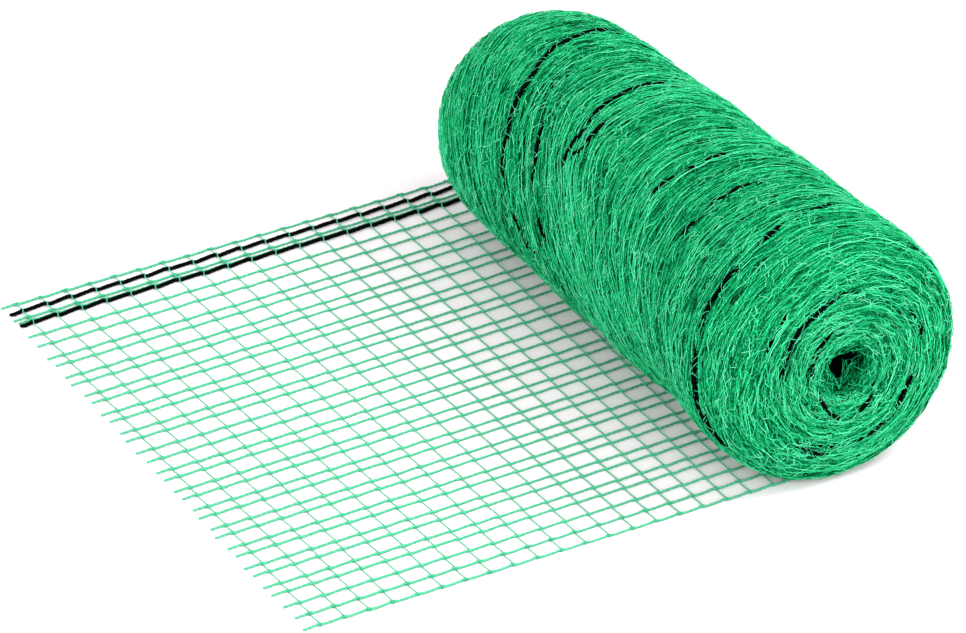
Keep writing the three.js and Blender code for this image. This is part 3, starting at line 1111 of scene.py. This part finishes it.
def ply_fuzz(wires, given, ply):
    """Small bends of a ply, different for each ply and seed."""
    place = wires.add("GeometryNodeInputPosition")
    apart = wires.vector(wires.times(ply, PLIES_APART), wires.times(given["Seed"], SEEDS_APART), 0.0)
    fine = wires.math("DIVIDE", 1.0, given["Fuzz Size"])
    spot = wires.vmath("SCALE", wires.vmath("ADD", place, apart), scale=fine)
    field = wires.add("ShaderNodeTexNoise", {"Vector": spot, "Scale": 1.0, "Detail": 1.0})
    bend = wires.vmath("SUBTRACT", field.outputs["Color"], (0.5, 0.5, 0.5))
    return wires.vmath("SCALE", bend, scale=wires.times(given["Fuzz"], 2.0))


def yarn_tree():
    tree = node_tree("twisted_yarn", YARN_DEFAULTS)
    wires = YarnWiring(tree)
    given = wires.add("NodeGroupInput").outputs
    curves = wires.add("GeometryNodeMeshToCurve", {"Mesh": given["Geometry"]})
    plies, ply = wires.copies(curves, given["Plies"])
    thick = wires.mark("thick")
    shift = wires.vmath("ADD", ply_twist(wires, given, ply, thick), ply_fuzz(wires, given, ply))
    moved = wires.add("GeometryNodeSetPosition", {"Geometry": plies, "Offset": shift})
    own = wires.centred(wires.chance(given["Seed"], ply, 3))
    tone = wires.total(given["Tone"], wires.mark("tint"), wires.times(own, given["Tone Spread"]))
    sides, radius = given["Sides"], given["Ply Radius"]
    wires.finish_tubes(moved, tone, sides, radius, given["Finish"], thick)
    return tree


twisted_yarn = yarn_tree()
print("yarn tree:", len(twisted_yarn.nodes), "nodes")

# %% [markdown]
# The laid netting is drawn to the real one's pattern. Lengthwise strands lie in pairs, a narrow
# and a wide gap in turn. A cross thread passes about every 19 mm. At each crossing it is knitted
# in, so the strand steps aside, gets thicker, and the thread leaves it a little further along.
# An array of one cell would be quicker, but its cells would all be alike.

# %% Pattern of the laid netting
NET_FAR_Y = 244.7
NET_NEAR_Y = -225.0
TIP_X = -252.5
TAIL = 11.5
CROSS_LEAN = 10.5
BORDER_GAPS = [11.6, 8, 9.2, 15.6, 14.4, 18.4]
GAP_PAIRS = [
    {"narrow": 10.8, "wide": 17.4, "repeats": 5},
    {"narrow": 13.6, "wide": 16, "repeats": 1},
    {"narrow": 10.8, "wide": 16.5, "repeats": 7},
    {"narrow": 15.6, "wide": 15.2, "repeats": 1},
]
CORD_STRANDS = [1, 3]
EDGE_STRANDS = [0, 2]
CELL_LENGTH_FAR = 19.5
CELL_LENGTH_NEAR = 18.6


def strand_places():
    gaps = list(BORDER_GAPS)
    for pair in GAP_PAIRS:
        gaps += [pair["narrow"], pair["wide"]] * pair["repeats"]
    return NET_FAR_Y - np.concatenate([[0], np.cumsum(gaps)])


def width_share(y):
    """From 0 at the netting's far edge to 1 at its near edge."""
    return (NET_FAR_Y - y) / (NET_FAR_Y - NET_NEAR_Y)


def crossing_x(y, column):
    """Where one cross thread meets the strand at y."""
    first = TIP_X + TAIL + CROSS_LEAN * (1 - width_share(y))
    cell = CELL_LENGTH_FAR + (CELL_LENGTH_NEAR - CELL_LENGTH_FAR) * width_share(y)
    return first + cell * column


def cells_along(x, y):
    """How many cells x lies past the first crossing."""
    return (x - crossing_x(y, 0)) / (crossing_x(y, 1) - crossing_x(y, 0))


strand_ys = strand_places()
print(len(strand_ys), "strands, the last at", round(strand_ys[-1], 1), "mm")

# %% Lines of the laid strands
COLUMN_COUNT = 40
WAVE_PARTS = [0, 0.08, 0.92, 1]
WAVE_SIDES = [0, -0.7, 0.7, 0]
UPHILL = 3.0
UPHILL_MOST_AT = 0.85
UPHILL_LEAST = 0.2
LAID_RUN = 380
UNDER_FROM = 90
UNDER_STEP = 1.5
PRESS_HEIGHT = 2.2
UNDER_REACH = 8
random_net = np.random.default_rng(7)
COLUMN_STEPS = random_net.uniform(0.3, 1.0, COLUMN_COUNT)


def strand_wave(x, y):
    """How far a strand lies aside of its line: it steps down past a crossing, then rises."""
    cells = cells_along(x, y)
    column = np.floor(cells).astype(int)
    saw = np.interp(cells - column, WAVE_PARTS, WAVE_SIDES)
    return saw * COLUMN_STEPS[np.clip(column, 0, COLUMN_COUNT - 1)]


def strand_line(x, y):
    """The strand's y at each x. It runs a little uphill, most in the middle of the netting."""
    calm = 1 - abs(2 * width_share(y) - UPHILL_MOST_AT)
    slope = UPHILL * max(calm, UPHILL_LEAST)
    return y + strand_wave(x, y) + slope * (x / LAID_RUN + 0.5) - UPHILL * 0.5


def reach_under_roll(y):
    """How far the netting at y can run before the roll's underside presses on it."""
    for x in np.arange(UNDER_FROM, ROLL_X, UNDER_STEP):
        hit = roll_form.ray_cast(Vector((x, y, -1)) * MM, Vector((0, 0, 1)))[0]
        if hit is not None and hit.z < PRESS_HEIGHT * MM:
            return x + UNDER_REACH
    return ROLL_X


strand_ends = [reach_under_roll(y) for y in strand_ys]
print("strands run under the roll to x", round(min(strand_ends)), "to", round(max(strand_ends)), "mm")

# %% Paths of the laid strands
STEP_LENGTH = 2.6
STRAND_HEIGHT = 1.1
KNOT_REACH = 2.2
CELL_LENGTH = 19
FIRST_KNOT = -0.3
KNOT_SWELL = 0.28
KNOT_TINT = 0.22
EDGE_ASIDE = 1.3
SEAM_OFFSET = 5.0
BORDER_STRANDS = 5
TIP_SHAKE = 1.5
HEIGHT_SHAKE = 0.15
TINT_SHAKE = 0.06


def is_edge(index):
    """Whether a strand is one of the thicker ones along the netting's two edges."""
    return index in EDGE_STRANDS or index >= len(strand_ys) - 2


def strand_path(index):
    y = strand_ys[index]
    longer = 1 if index >= BORDER_STRANDS else 0
    start = crossing_x(y, 0) - TAIL - longer + random_net.uniform(-TIP_SHAKE, TIP_SHAKE)
    xs = np.arange(start, strand_ends[index], STEP_LENGTH)
    cells = cells_along(xs, y)
    to_knot = (cells - np.round(cells)) * CELL_LENGTH / KNOT_REACH
    near_knot = np.exp(-(to_knot ** 2)) * (cells > FIRST_KNOT)
    lines = strand_line(xs, y)
    if is_edge(index):
        lines = lines + EDGE_ASIDE * near_knot
    thick = 1 + KNOT_SWELL * near_knot
    heights = np.full(len(xs), STRAND_HEIGHT) + random_net.uniform(0, HEIGHT_SHAKE, len(xs))
    tints = KNOT_TINT * near_knot + random_net.uniform(-TINT_SHAKE, TINT_SHAKE, len(xs))
    return np.stack([xs, lines, heights, thick, tints], axis=1)


strand_paths = [strand_path(i) for i in range(len(strand_ys)) if i not in CORD_STRANDS]
seam_line = strand_path(2)
seam_line[:, 1] -= SEAM_OFFSET
strand_paths.append(seam_line)
print("laid strands", round(sum(len(p) for p in strand_paths) * STEP_LENGTH / 1000, 2), "m")

# %% [markdown]
# A cross thread is a zigzag: it goes straight to the next strand, runs along it for a stitch and
# goes on. Over a black cord it climbs across the top, which holds the cord down. A real thread
# is knitted in loops, but at this size a loop can't be told from a stitch, so the short way
# along the strand stands for it.

# %% Paths of the cross threads
STITCH = 0.8
CORD_HEIGHT = 1.9
CORD_RADIUS = 1.15
CORD_CLEARANCE = 0.45
CORD_TOP = CORD_HEIGHT + CORD_RADIUS + CORD_CLEARANCE
OVER_CORD = [(1.9, 1.5), (0.8, CORD_TOP), (-0.8, CORD_TOP), (-1.9, 1.5)]
OVER_CORD_LEAN = 0.25
OVER_CORD_THICK = 0.85
OVER_CORD_TINT = 0.5
STITCH_ASIDE = 0.2
STITCH_TINT = 0.05
THREAD_STEP = 3.6
THREAD_SHAKE = 0.09
THREAD_ENDS_BEFORE = 2


def fill_path(spots):
    """Adds points between drawn ones, so that no two are further apart than the step."""
    filled = [spots[0]]
    for here, there in zip(spots[:-1], spots[1:]):
        count = max(1, int(math.ceil(np.linalg.norm(there[:3] - here[:3]) / THREAD_STEP)))
        for part in range(1, count + 1):
            point = here + (there - here) * part / count
            if part < count:
                point[:2] += random_net.normal(0, THREAD_SHAKE, 2)
            filled.append(point)
    return np.array(filled)


def over_cord(x, y):
    """The way of a cross thread over a black cord."""
    return [
        (x + OVER_CORD_LEAN * offset, y + offset, height, OVER_CORD_THICK, OVER_CORD_TINT)
        for offset, height in OVER_CORD
    ]


def stitch(x, y):
    """The two ends of a cross thread's stitch along a strand."""
    height = STRAND_HEIGHT + STITCH_ASIDE
    ends = []
    for side in (1, -1):
        place = x + side * STITCH
        line = strand_line(np.array([place]), y)[0]
        ends.append((place, line + side * STITCH_ASIDE, height, 1.0, STITCH_TINT))
    return ends


def cross_thread_path(column):
    spots = []
    for index, y in enumerate(strand_ys):
        x = crossing_x(y, column)
        if x <= strand_ends[index] - THREAD_ENDS_BEFORE:
            spots += over_cord(x, y) if index in CORD_STRANDS else stitch(x, y)
    return fill_path(np.array(spots))


last_column = int((ROLL_X - crossing_x(NET_FAR_Y, 0)) // CELL_LENGTH_FAR)
thread_paths = [cross_thread_path(column) for column in range(last_column + 1)]
print(len(thread_paths), "cross threads")

# %% [markdown]
# A knot is two turns of yarn round the strand. One small pair of rings is placed on every
# crossing, each turned and sized a little differently. A bead would be simpler, but it would
# look like a drop of glue.

# %% Tree for knots
KNOT_DEFAULTS = {
    "Ring": 0.0007, "Yarn": 0.00036, "Apart": 0.001, "Tone": 0.6, "Seed": 1,
    "Finish": laid_finish,
}
RING_TILTS = ((-0.5, 0.35), (0.5, -0.2))
KNOT_SWING = 0.8
KNOT_GAIN = 0.35
KNOT_LEAST = 0.8


def knot_rings(wires, given):
    """Two small rings of yarn, side by side and tilted."""
    round_ring = {"Resolution": 6, "Radius": given["Ring"]}
    circle = wires.add("GeometryNodeCurvePrimitiveCircle", round_ring)
    section = {"Resolution": 3, "Radius": given["Yarn"]}
    yarn = wires.add("GeometryNodeCurvePrimitiveCircle", section)
    ring = wires.add("GeometryNodeCurveToMesh", {"Curve": circle, "Profile Curve": yarn})
    pair = wires.add("GeometryNodeJoinGeometry")
    for side, tilt in RING_TILTS:
        feeds = {"Geometry": ring, "Rotation": (tilt, math.pi / 2, 0)}
        turned = wires.add("GeometryNodeTransform", feeds)
        apart = wires.vector(wires.times(given["Apart"], side), 0.0, 0.0)
        moved = wires.add("GeometryNodeTransform", {"Geometry": turned, "Translation": apart})
        wires.feed(pair.inputs[0], moved)
    return pair


def knot_tree():
    tree = node_tree("knots", KNOT_DEFAULTS)
    wires = YarnWiring(tree)
    given = wires.add("NodeGroupInput").outputs
    which = wires.add("GeometryNodeInputIndex")
    turned, swung, sized = (wires.chance(given["Seed"], which, number) for number in (1, 2, 3))
    swing = wires.times(wires.centred(swung), KNOT_SWING)
    spin = wires.vector(wires.times(turned, 2 * math.pi), 0.0, swing)
    size = wires.math("MULTIPLY_ADD", sized, KNOT_GAIN, KNOT_LEAST)
    size = wires.math("MULTIPLY", wires.mark("thick"), size)
    rings = knot_rings(wires, given)
    feeds = {"Points": given["Geometry"], "Instance": rings, "Rotation": spin, "Scale": size}
    placed = wires.add("GeometryNodeInstanceOnPoints", feeds)
    real = wires.add("GeometryNodeRealizeInstances", {"Geometry": placed})
    smooth = wires.add("GeometryNodeSetShadeSmooth", {"Geometry": real})
    feeds = {"Geometry": smooth, "Name": "tone", "Value": given["Tone"]}
    toned = wires.add("GeometryNodeStoreNamedAttribute", feeds)
    dressed = wires.add("GeometryNodeSetMaterial", {"Geometry": toned, "Material": given["Finish"]})
    wires.feed(wires.add("NodeGroupOutput").inputs["Geometry"], dressed)
    return tree


knots = knot_tree()
print("knot tree:", len(knots.nodes), "nodes")

# %% Places of the knots
EDGE_KNOT = 1.25
KNOT_RAISE = 0.1
KNOTS_END_BEFORE = 4


def knot_spots():
    """One path of a single point for each knot."""
    spots = []
    for index, y in enumerate(strand_ys):
        if index in CORD_STRANDS:
            continue
        for column in range(last_column + 1):
            x = crossing_x(y, column)
            if x < strand_ends[index] - KNOTS_END_BEFORE:
                line = strand_line(np.array([x]), y)[0]
                thick = EDGE_KNOT if is_edge(index) else 1.0
                spots.append([(x, line, STRAND_HEIGHT + KNOT_RAISE, thick, 0)])
    return spots


knot_places = knot_spots()
print(len(knot_places), "knots")

# %% [markdown]
# Strands, cross threads and knots are grown from their paths and joined into one piece, because
# the real netting is one fabric. Most of the netting that shows is open: yarn covers only about
# three tenths of it.

# %% The laid netting
laid_meshes = [
    grow("laid_strands", twisted_yarn, path_mesh("strand_paths", strand_paths), {
        "Plies": 2, "Ply Radius": 0.70 * MM, "Spread": 0.45 * MM, "Pitch": 8 * MM, "Sides": 3,
        "Fuzz": 0.16 * MM, "Tone": 0.5, "Tone Spread": 0.2, "Seed": 3,
    }),
    grow("laid_threads", twisted_yarn, path_mesh("thread_paths", thread_paths), {
        "Plies": 1, "Ply Radius": 0.55 * MM, "Spread": 0.0, "Pitch": 9 * MM, "Sides": 3,
        "Fuzz": 0.15 * MM, "Tone": 0.34, "Tone Spread": 0.0, "Seed": 4,
    }),
    grow("laid_knots", knots, path_mesh("knot_spots", knot_places), {"Seed": 6}),
]
laid_netting = add_piece("laid_netting", laid_meshes)
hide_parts("net_laid")

# %% [markdown]
# Two black cords run in the border between the edge strands. They are thicker than the strands
# and lie in shallow waves between the cross threads that hold them. A plain black tube would
# show where they lie, but close up the real cord is three plies twisted together, so they are
# grown by the same tree as the green yarn. Each one's cut end hooks to one side.

# %% Black border cords
CORD_STEP = 1.6
CORD_REST = 1.7
CORD_WAVE = 2.2
CORD_END = 8
HOOK_PLACES = [0, 2, 4, 7, 12]
HOOK_SIDES = [-0.7, -1.9, -2.2, -1.2, 0]
TIP_THICK = 0.75
TIP_TAPER = 2.5
CORD_YARN = {
    "Plies": 3, "Ply Radius": 0.85 * MM, "Spread": 0.86 * MM, "Pitch": 8 * MM, "Sides": 5,
    "Fuzz": 0.2 * MM, "Fuzz Size": 4 * MM, "Finish": black_finish,
}


def border_cord_path(index):
    y = strand_ys[index]
    start = crossing_x(y, 0) - TAIL + 1
    xs = np.arange(start, ROLL_X - 0.5, CORD_STEP)
    hook = np.interp(xs - start, HOOK_PLACES, HOOK_SIDES)
    ys = y + hook + CORD_WAVE * strand_wave(xs, y) * (xs > start + CORD_END)
    tips = TIP_THICK + (1 - TIP_THICK) * np.clip((xs - start) / TIP_TAPER, 0, 1)
    heights = np.full(len(xs), CORD_REST)
    return np.stack([xs, ys, heights, tips, np.zeros(len(xs))], axis=1)


for name, index in (("border_cord_outer", 1), ("border_cord_inner", 3)):
    path = border_cord_path(index)
    mesh = grow(name, twisted_yarn, path_mesh(name, [path]), {**CORD_YARN, "Seed": index})
    cord = add_piece("black_" + name, [mesh])
    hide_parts(name)
    length = np.linalg.norm(np.diff(path[:, :3], axis=0), axis=1).sum()
    print(name, "laid length", round(length), "mm")

# %% [markdown]
# Beyond the roll's far end the edge of the netting has nothing above it. It could simply stop
# there, but cut yarns behind the roll would look wrong from the back. So its strands and both
# cords rise round the back of the roll and slip in among the outer turns.

# %% Rising edge
RISE_END_ALONG = 452.0
RISE_SWEEP = 150.0
RISE_RADIUS = 79.0
RISE_STEP = 2.6
RISE_THREAD = 0.6
RISE_DEPTH = 12
RISE_DRIFTS_UNTIL = 0.9
RISE_SINKS_FROM = 0.3


def rising_path(y, height):
    """From the floor under the axis, round the back, to the roll's surface near its far end."""
    count = int(RISE_SWEEP * math.pi / 180 * RISE_RADIUS / RISE_STEP)
    start = y - ROLL_START_Y
    path = []
    for share in np.linspace(0, 1, count):
        along = start + (RISE_END_ALONG - start) * smooth_step(0, RISE_DRIFTS_UNTIL, share)
        axis = axis_point(along) / MM
        sunk = RISE_RADIUS - RISE_DEPTH - axis.z + height
        radius = axis.z - height + sunk * smooth_step(RISE_SINKS_FROM, 1, share)
        point = axis + out_from_axis(-90 + RISE_SWEEP * share) * radius
        path.append((point.x, point.y, max(point.z, height), 1.0, 0.0))
    return path


def rising_threads(rises):
    """Cross threads from strand to strand of the rising edge, one for each cell."""
    every = int(CELL_LENGTH_FAR / RISE_STEP)
    threads = []
    for place in range(every, len(rises[0]) - every, every):
        thread = np.array([rise[place] for rise in rises])
        thread[:, 3] = RISE_THREAD
        threads.append(fill_path(thread))
    return threads


strand_rises = [rising_path(strand_ys[k], STRAND_HEIGHT) for k in EDGE_STRANDS]
cord_rises = [rising_path(strand_ys[k], CORD_REST) for k in CORD_STRANDS]
in_order = [strand_rises[0], cord_rises[0], strand_rises[1], cord_rises[1]]
thread_rises = rising_threads(in_order)
RISING_YARN = {
    "Plies": 2, "Ply Radius": 0.5 * MM, "Spread": 0.36 * MM, "Pitch": 8 * MM, "Tone": 0.6,
    "Seed": 5,
}
RISING_THREAD = {**RISING_YARN, "Plies": 1, "Ply Radius": 0.6 * MM, "Spread": 0.0}
RISING_CORD = {**CORD_YARN, "Seed": 9}
green_rises = [
    grow("rising", twisted_yarn, path_mesh("rises", strand_rises), RISING_YARN),
    grow("rising", twisted_yarn, path_mesh("rises", thread_rises), RISING_THREAD),
]
add_piece("rising_strands", green_rises)
black_rises = grow("rising", twisted_yarn, path_mesh("rises", cord_rises), RISING_CORD)
add_piece("rising_cords", [black_rises])

# %% [markdown]
# The same cords come to the surface of the roll here and there, as dark arcs between the
# strands. They can't follow a rule, because the netting was wound by hand, so each arc is drawn
# as a row of places (along, angle) or, on the end face, (radius, angle). A third number says how
# much of the cord shows there, because other strands pass over it and its ends dive under the
# turns. A smooth curve goes through each row.

# %% Places of the black cords in the roll
BODY_ARCS = {
    "far_long": [
        (372, 60, 0), (373, 73, 1), (369, 86, 1), (367, 92, 1), (364, 105, 1), (352, 122, 1),
        (345, 136, 1), (334, 150, 1), (326, 164, 1), (321, 169, 0.6), (311, 177, 0.2),
        (304, 182, 1), (295, 188, 0.3), (285, 192, 1), (271, 193, 0),
    ],
    "far_middle": [(340, 110, 0), (335, 116, 0.6), (328, 124, 0.3), (322, 129, 0.6), (318, 133, 0)],
    "far_short": [
        (314, 128, 0), (307, 137, 0.7), (298, 146, 1), (292, 151, 1), (287, 159, 0.6),
        (278, 165, 0), (270, 170, 0.6), (264, 173, 1), (258, 177, 1), (250, 180, 0),
    ],
    "middle": [
        (270, 64, 0), (270, 70, 0.6), (275, 76, 0.4), (276, 81, 0.9), (278, 91, 1), (278, 96, 1),
        (277, 105, 1), (274, 117, 1), (270, 123, 0.5), (268, 131, 1), (264, 141, 1), (263, 147, 0),
    ],
    "middle_low": [
        (260, 114, 0), (258, 119, 1), (257, 126, 1), (256, 130, 0.5), (258, 136, 1), (258, 142, 0),
    ],
    "upper": [
        (157, 88, 0), (158, 94, 1), (159, 99, 1), (160, 104, 0.2), (161, 109, 0.8),
        (163, 114, 0.2), (164, 120, 1), (165, 126, 1), (166, 131, 0),
    ],
    "near_short": [
        (116, 90, 0), (116, 96, 0.6), (117, 102, 1), (117, 107, 0.5), (118, 113, 1),
        (118, 119, 0.3), (117, 125, 0.6), (117, 131, 1), (117, 136, 0),
    ],
    "near_long": [
        (62, 71, 0), (62, 78, 0.5), (58, 88, 0.3), (54, 95, 0.6), (54, 101, 0.3), (51, 107, 1),
        (50, 112, 0.8), (48, 119, 0), (47, 126, 0.1), (46, 133, 1), (45, 141, 1), (46, 147, 1),
        (46, 154, 0.8), (44, 161, 0.1), (42, 166, 0.7), (40, 172, 1), (38, 180, 1),
        (37, 189, 0.6), (35, 194, 0.9), (32, 198, 1), (27, 205, 1), (24, 209, 1), (20, 215, 0),
    ],
    "near_beside": [
        (43.5, 166, 0), (42, 172, 0.8), (40, 180, 1), (39, 189, 0.9), (37, 194, 1), (34, 198, 1),
        (29, 205, 1), (26, 209, 0.8), (22, 215, 0),
    ],
}
FACE_ARCS = {
    "outer_left": [
        (56, 76, 0), (57, 84, 0.6), (58, 94, 0.4), (58, 105, 1), (56, 116, 1), (56, 131, 1),
        (55, 147, 1), (53, 158, 1), (52, 168, 0.7), (51, 176, 0),
    ],
    "left_rim": [(71, 132, 0), (71, 138, 0.6), (71, 146, 0.5), (71, 152, 1), (70, 159, 0)],
    "inner_left": [
        (35, 100, 0), (35, 108, 0.7), (33, 121, 1), (30, 133, 0.7), (29, 147, 0.9),
        (27, 163, 0.8), (27, 181, 1), (26, 192, 0),
    ],
    "inner_low": [
        (25, 206, 0), (26, 216, 0.7), (29, 229, 0.8), (33, 242, 1), (40, 262, 1), (42, 270, 0),
    ],
    "inner_right": [
        (30, 330, 0), (32, 321, 0.7), (36, 306, 0.8), (38, 299, 1), (40, 291, 1), (43, 284, 0.6),
        (45, 277, 0),
    ],
    "outer_low": [
        (54, 345, 0), (56, 336, 1), (57, 325, 0.8), (59, 314, 1), (61, 305, 0.8), (60, 295, 1),
        (61, 285, 0.9), (61, 273, 0.5), (60, 260, 0.9), (61, 248, 0.8), (62, 239, 0.6), (63, 231, 0),
    ],
    "low_rim": [(68, 263, 0), (67, 256, 0.7), (66, 248, 0.8), (65, 240, 0.6), (65, 233, 0)],
    "right": [(58, 37, 0), (58, 30, 0.8), (59, 22, 0.2), (60, 13, 0.8), (61, 6, 0)],
}
print(len(BODY_ARCS), "arcs round the roll,", len(FACE_ARCS), "on its near end face")

# %% Black cords in the roll
ARC_STEP = 1.6
ARC_LIFT = 0.85
ARC_DIVE = 3.2
ARC_WAVE = 0.35
ARC_WAVE_LENGTH = 2.7
BODY_RADIUS = 92.0
CORD_CLEAR = 1.0
FACE_RAY_BACK = 0.02


def body_spot(along, degrees):
    """The place and the outward normal on the outer turns."""
    out = out_from_axis(degrees)
    return roll_form.ray_cast(axis_point(along) + out * RAY_START, -out)[:2]


def face_spot(radius, degrees):
    """The place and the outward normal on the near end face."""
    start = axis_point(0) + out_from_axis(degrees) * radius * MM - Vector((0, FACE_RAY_BACK, 0))
    return roll_form.ray_cast(start, Vector((0, 1, 0)))[:2]


def smooth_curve(known, values, wanted):
    """Values between known ones on a smooth curve."""
    slopes = np.gradient(values, known)
    cell = np.clip(np.searchsorted(known, wanted) - 1, 0, len(known) - 2)
    width = known[cell + 1] - known[cell]
    t = (wanted - known[cell]) / width
    return (
        (2 * t**3 - 3 * t**2 + 1) * values[cell] + (t**3 - 2 * t**2 + t) * width * slopes[cell]
        + (3 * t**2 - 2 * t**3) * values[cell + 1] + (t**3 - t**2) * width * slopes[cell + 1]
    )


def arc_path(row, spot, girth):
    """A cord path through the places of one row, close to the surface and diving at its ends."""
    marks = np.array(row, dtype=float)
    turned = np.radians(np.diff(marks[:, 1])) * girth(marks[:-1, 0])
    walked = np.concatenate([[0], np.cumsum(np.hypot(np.diff(marks[:, 0]), turned))])
    spots = np.arange(0, walked[-1], ARC_STEP)
    firsts = smooth_curve(walked, marks[:, 0], spots)
    angles = smooth_curve(walked, marks[:, 1], spots)
    shows = np.interp(spots, walked, marks[:, 2])
    path = []
    for walk, first, angle, show in zip(spots, firsts, angles, shows):
        place, normal = spot(first + ARC_WAVE * math.sin(walk / ARC_WAVE_LENGTH), angle)
        point = place / MM + normal * (ARC_LIFT - ARC_DIVE * (1 - show))
        path.append((point.x, point.y, max(point.z, CORD_CLEAR), 1.0, 0.0))
    return path


arc_paths = [arc_path(row, body_spot, lambda first: BODY_RADIUS) for row in BODY_ARCS.values()]
arc_paths += [arc_path(row, face_spot, lambda first: first) for row in FACE_ARCS.values()]
WOUND_CORD = {**CORD_YARN, "Ply Radius": 1.15 * MM, "Spread": 0.75 * MM, "Sides": 4, "Seed": 8}
wound_cords = grow("wound_cords", twisted_yarn, path_mesh("arcs", arc_paths), WOUND_CORD)
add_piece("wound_cords", [wound_cords])
print("cord showing on the roll", round(sum(len(p) for p in arc_paths) * ARC_STEP), "mm")

# %% [markdown]
# Pale threads still pass over these cords every few millimetres. Scattered loose threads would
# miss most of the cords, so these are drawn as short bridges, one after the other along each
# arc, with a little slack.

# %% Bridges over the cords in the roll
BRIDGE_GAP = (3.5, 14.0)
BRIDGE_FIRST = (2, 6)
BRIDGE_HALF = 4.6
BRIDGE_SIZES = (0.6, 1.5)
BRIDGE_TILTS = (0.3, 1.3)
BRIDGE_BOWS = (-0.8, 0.8)
BRIDGE_TINTS = (-0.1, 0.2)
BRIDGE_TOP = 1.55
BRIDGE_FOOT = 0.6
FACE_DEPTH = 6
random_bridge = np.random.default_rng(21)


def unit(vector):
    return vector / np.linalg.norm(vector)


def way_out(point):
    """Away from the roll at one point: outwards from the axis, or from the near end face."""
    if point[1] < ROLL_START_Y + FACE_DEPTH:
        return np.array([0.0, -1.0, 0.0])
    return unit(point - np.array(axis_point(point[1] - ROLL_START_Y)) / MM)


def bridge_at(line, k):
    """A bowed thread over the cord at point k of its line."""
    ahead = unit(line[k + 1] - line[k - 1])
    out = way_out(line[k])
    tilt = random_bridge.uniform(*BRIDGE_TILTS) * random_bridge.choice([-1, 1])
    heading = np.cross(ahead, out) * math.cos(tilt) + ahead * math.sin(tilt)
    half = BRIDGE_HALF * random_bridge.uniform(*BRIDGE_SIZES)
    bow = random_bridge.uniform(*BRIDGE_BOWS)
    bridge = []
    for part in np.linspace(-1, 1, 7):
        middle = 1 - part * part
        top = BRIDGE_TOP * middle - BRIDGE_FOOT * part * part
        point = line[k] + heading * half * part + ahead * bow * middle + out * top
        bridge.append((*point, 1.0, random_bridge.uniform(*BRIDGE_TINTS)))
    return bridge


def bridge_paths():
    bridges = []
    for path in arc_paths:
        line = np.array(path)[:, :3]
        walk = random_bridge.uniform(*BRIDGE_FIRST)
        while walk < (len(line) - 3) * ARC_STEP:
            bridges.append(bridge_at(line, int(walk / ARC_STEP) + 1))
            walk += random_bridge.uniform(*BRIDGE_GAP)
    return bridges


BRIDGE_YARN = {
    "Plies": 1, "Ply Radius": 0.21 * MM, "Spread": 0.0, "Fuzz": 0.5 * MM, "Tone": 0.66,
    "Tone Spread": 0.0, "Finish": thread_finish,
}
bridges = bridge_paths()
cord_bridges = grow("cord_bridges", twisted_yarn, path_mesh("bridges", bridges), BRIDGE_YARN)
add_piece("cord_bridges", [cord_bridges])
print(len(bridges), "bridges")

# %% [markdown]
# The floor is plain and nearly white. The light is a soft studio light from above the near right
# side, so the near end face is bright and a soft grey shade lies on the floor in front. A sun
# would draw hard edges there. Three large area lights and a bright world keep it soft.

# %% Floor and light
FLOOR_COLOUR = (0.76, 0.71, 0.735, 1)
LIGHTS = [
    {"name": "key", "place": (1.8, -0.9, 2.2), "size": 1.1, "power": 54},
    {"name": "front", "place": (0.2, -2.6, 1.3), "size": 1.6, "power": 54},
    {"name": "left", "place": (-2.1, -0.9, 1.1), "size": 1.6, "power": 38},
]
LIGHT_AIM = (0.1, 0, 0.05)
WORLD_LIGHT = 1.27


def make_floor():
    bpy.ops.mesh.primitive_plane_add(size=10, location=(0, 0, 0))
    floor = bpy.context.object
    floor.name = "floor"
    material, _, shader = new_material("pale_floor")
    shader["Base Color"].default_value = FLOOR_COLOUR
    shader["Roughness"].default_value = 0.9
    shader["Specular IOR Level"].default_value = 0.0
    floor.data.materials.append(material)


def add_light(name, place, size, power):
    data = bpy.data.lights.new(name, "AREA")
    data.size = size
    data.energy = power
    light = bpy.data.objects.new(name, data)
    light.location = Vector(place)
    back = Vector(place) - Vector(LIGHT_AIM)
    light.rotation_euler = back.to_track_quat("Z", "Y").to_euler()
    bpy.context.scene.collection.objects.link(light)


def add_world():
    world = bpy.data.worlds.new("studio")
    bpy.context.scene.world = world
    world.use_nodes = True
    background = world.node_tree.nodes["Background"].inputs
    background["Color"].default_value = (1, 1, 1, 1)
    background["Strength"].default_value = WORLD_LIGHT


make_floor()
for light in LIGHTS:
    add_light(**light)
add_world()
bpy.context.scene.view_settings.view_transform = "Standard"
print("lights:", ", ".join(light["name"] for light in LIGHTS))

# %% [markdown]
# The yarn may stand proud of the construction by a few millimetres.
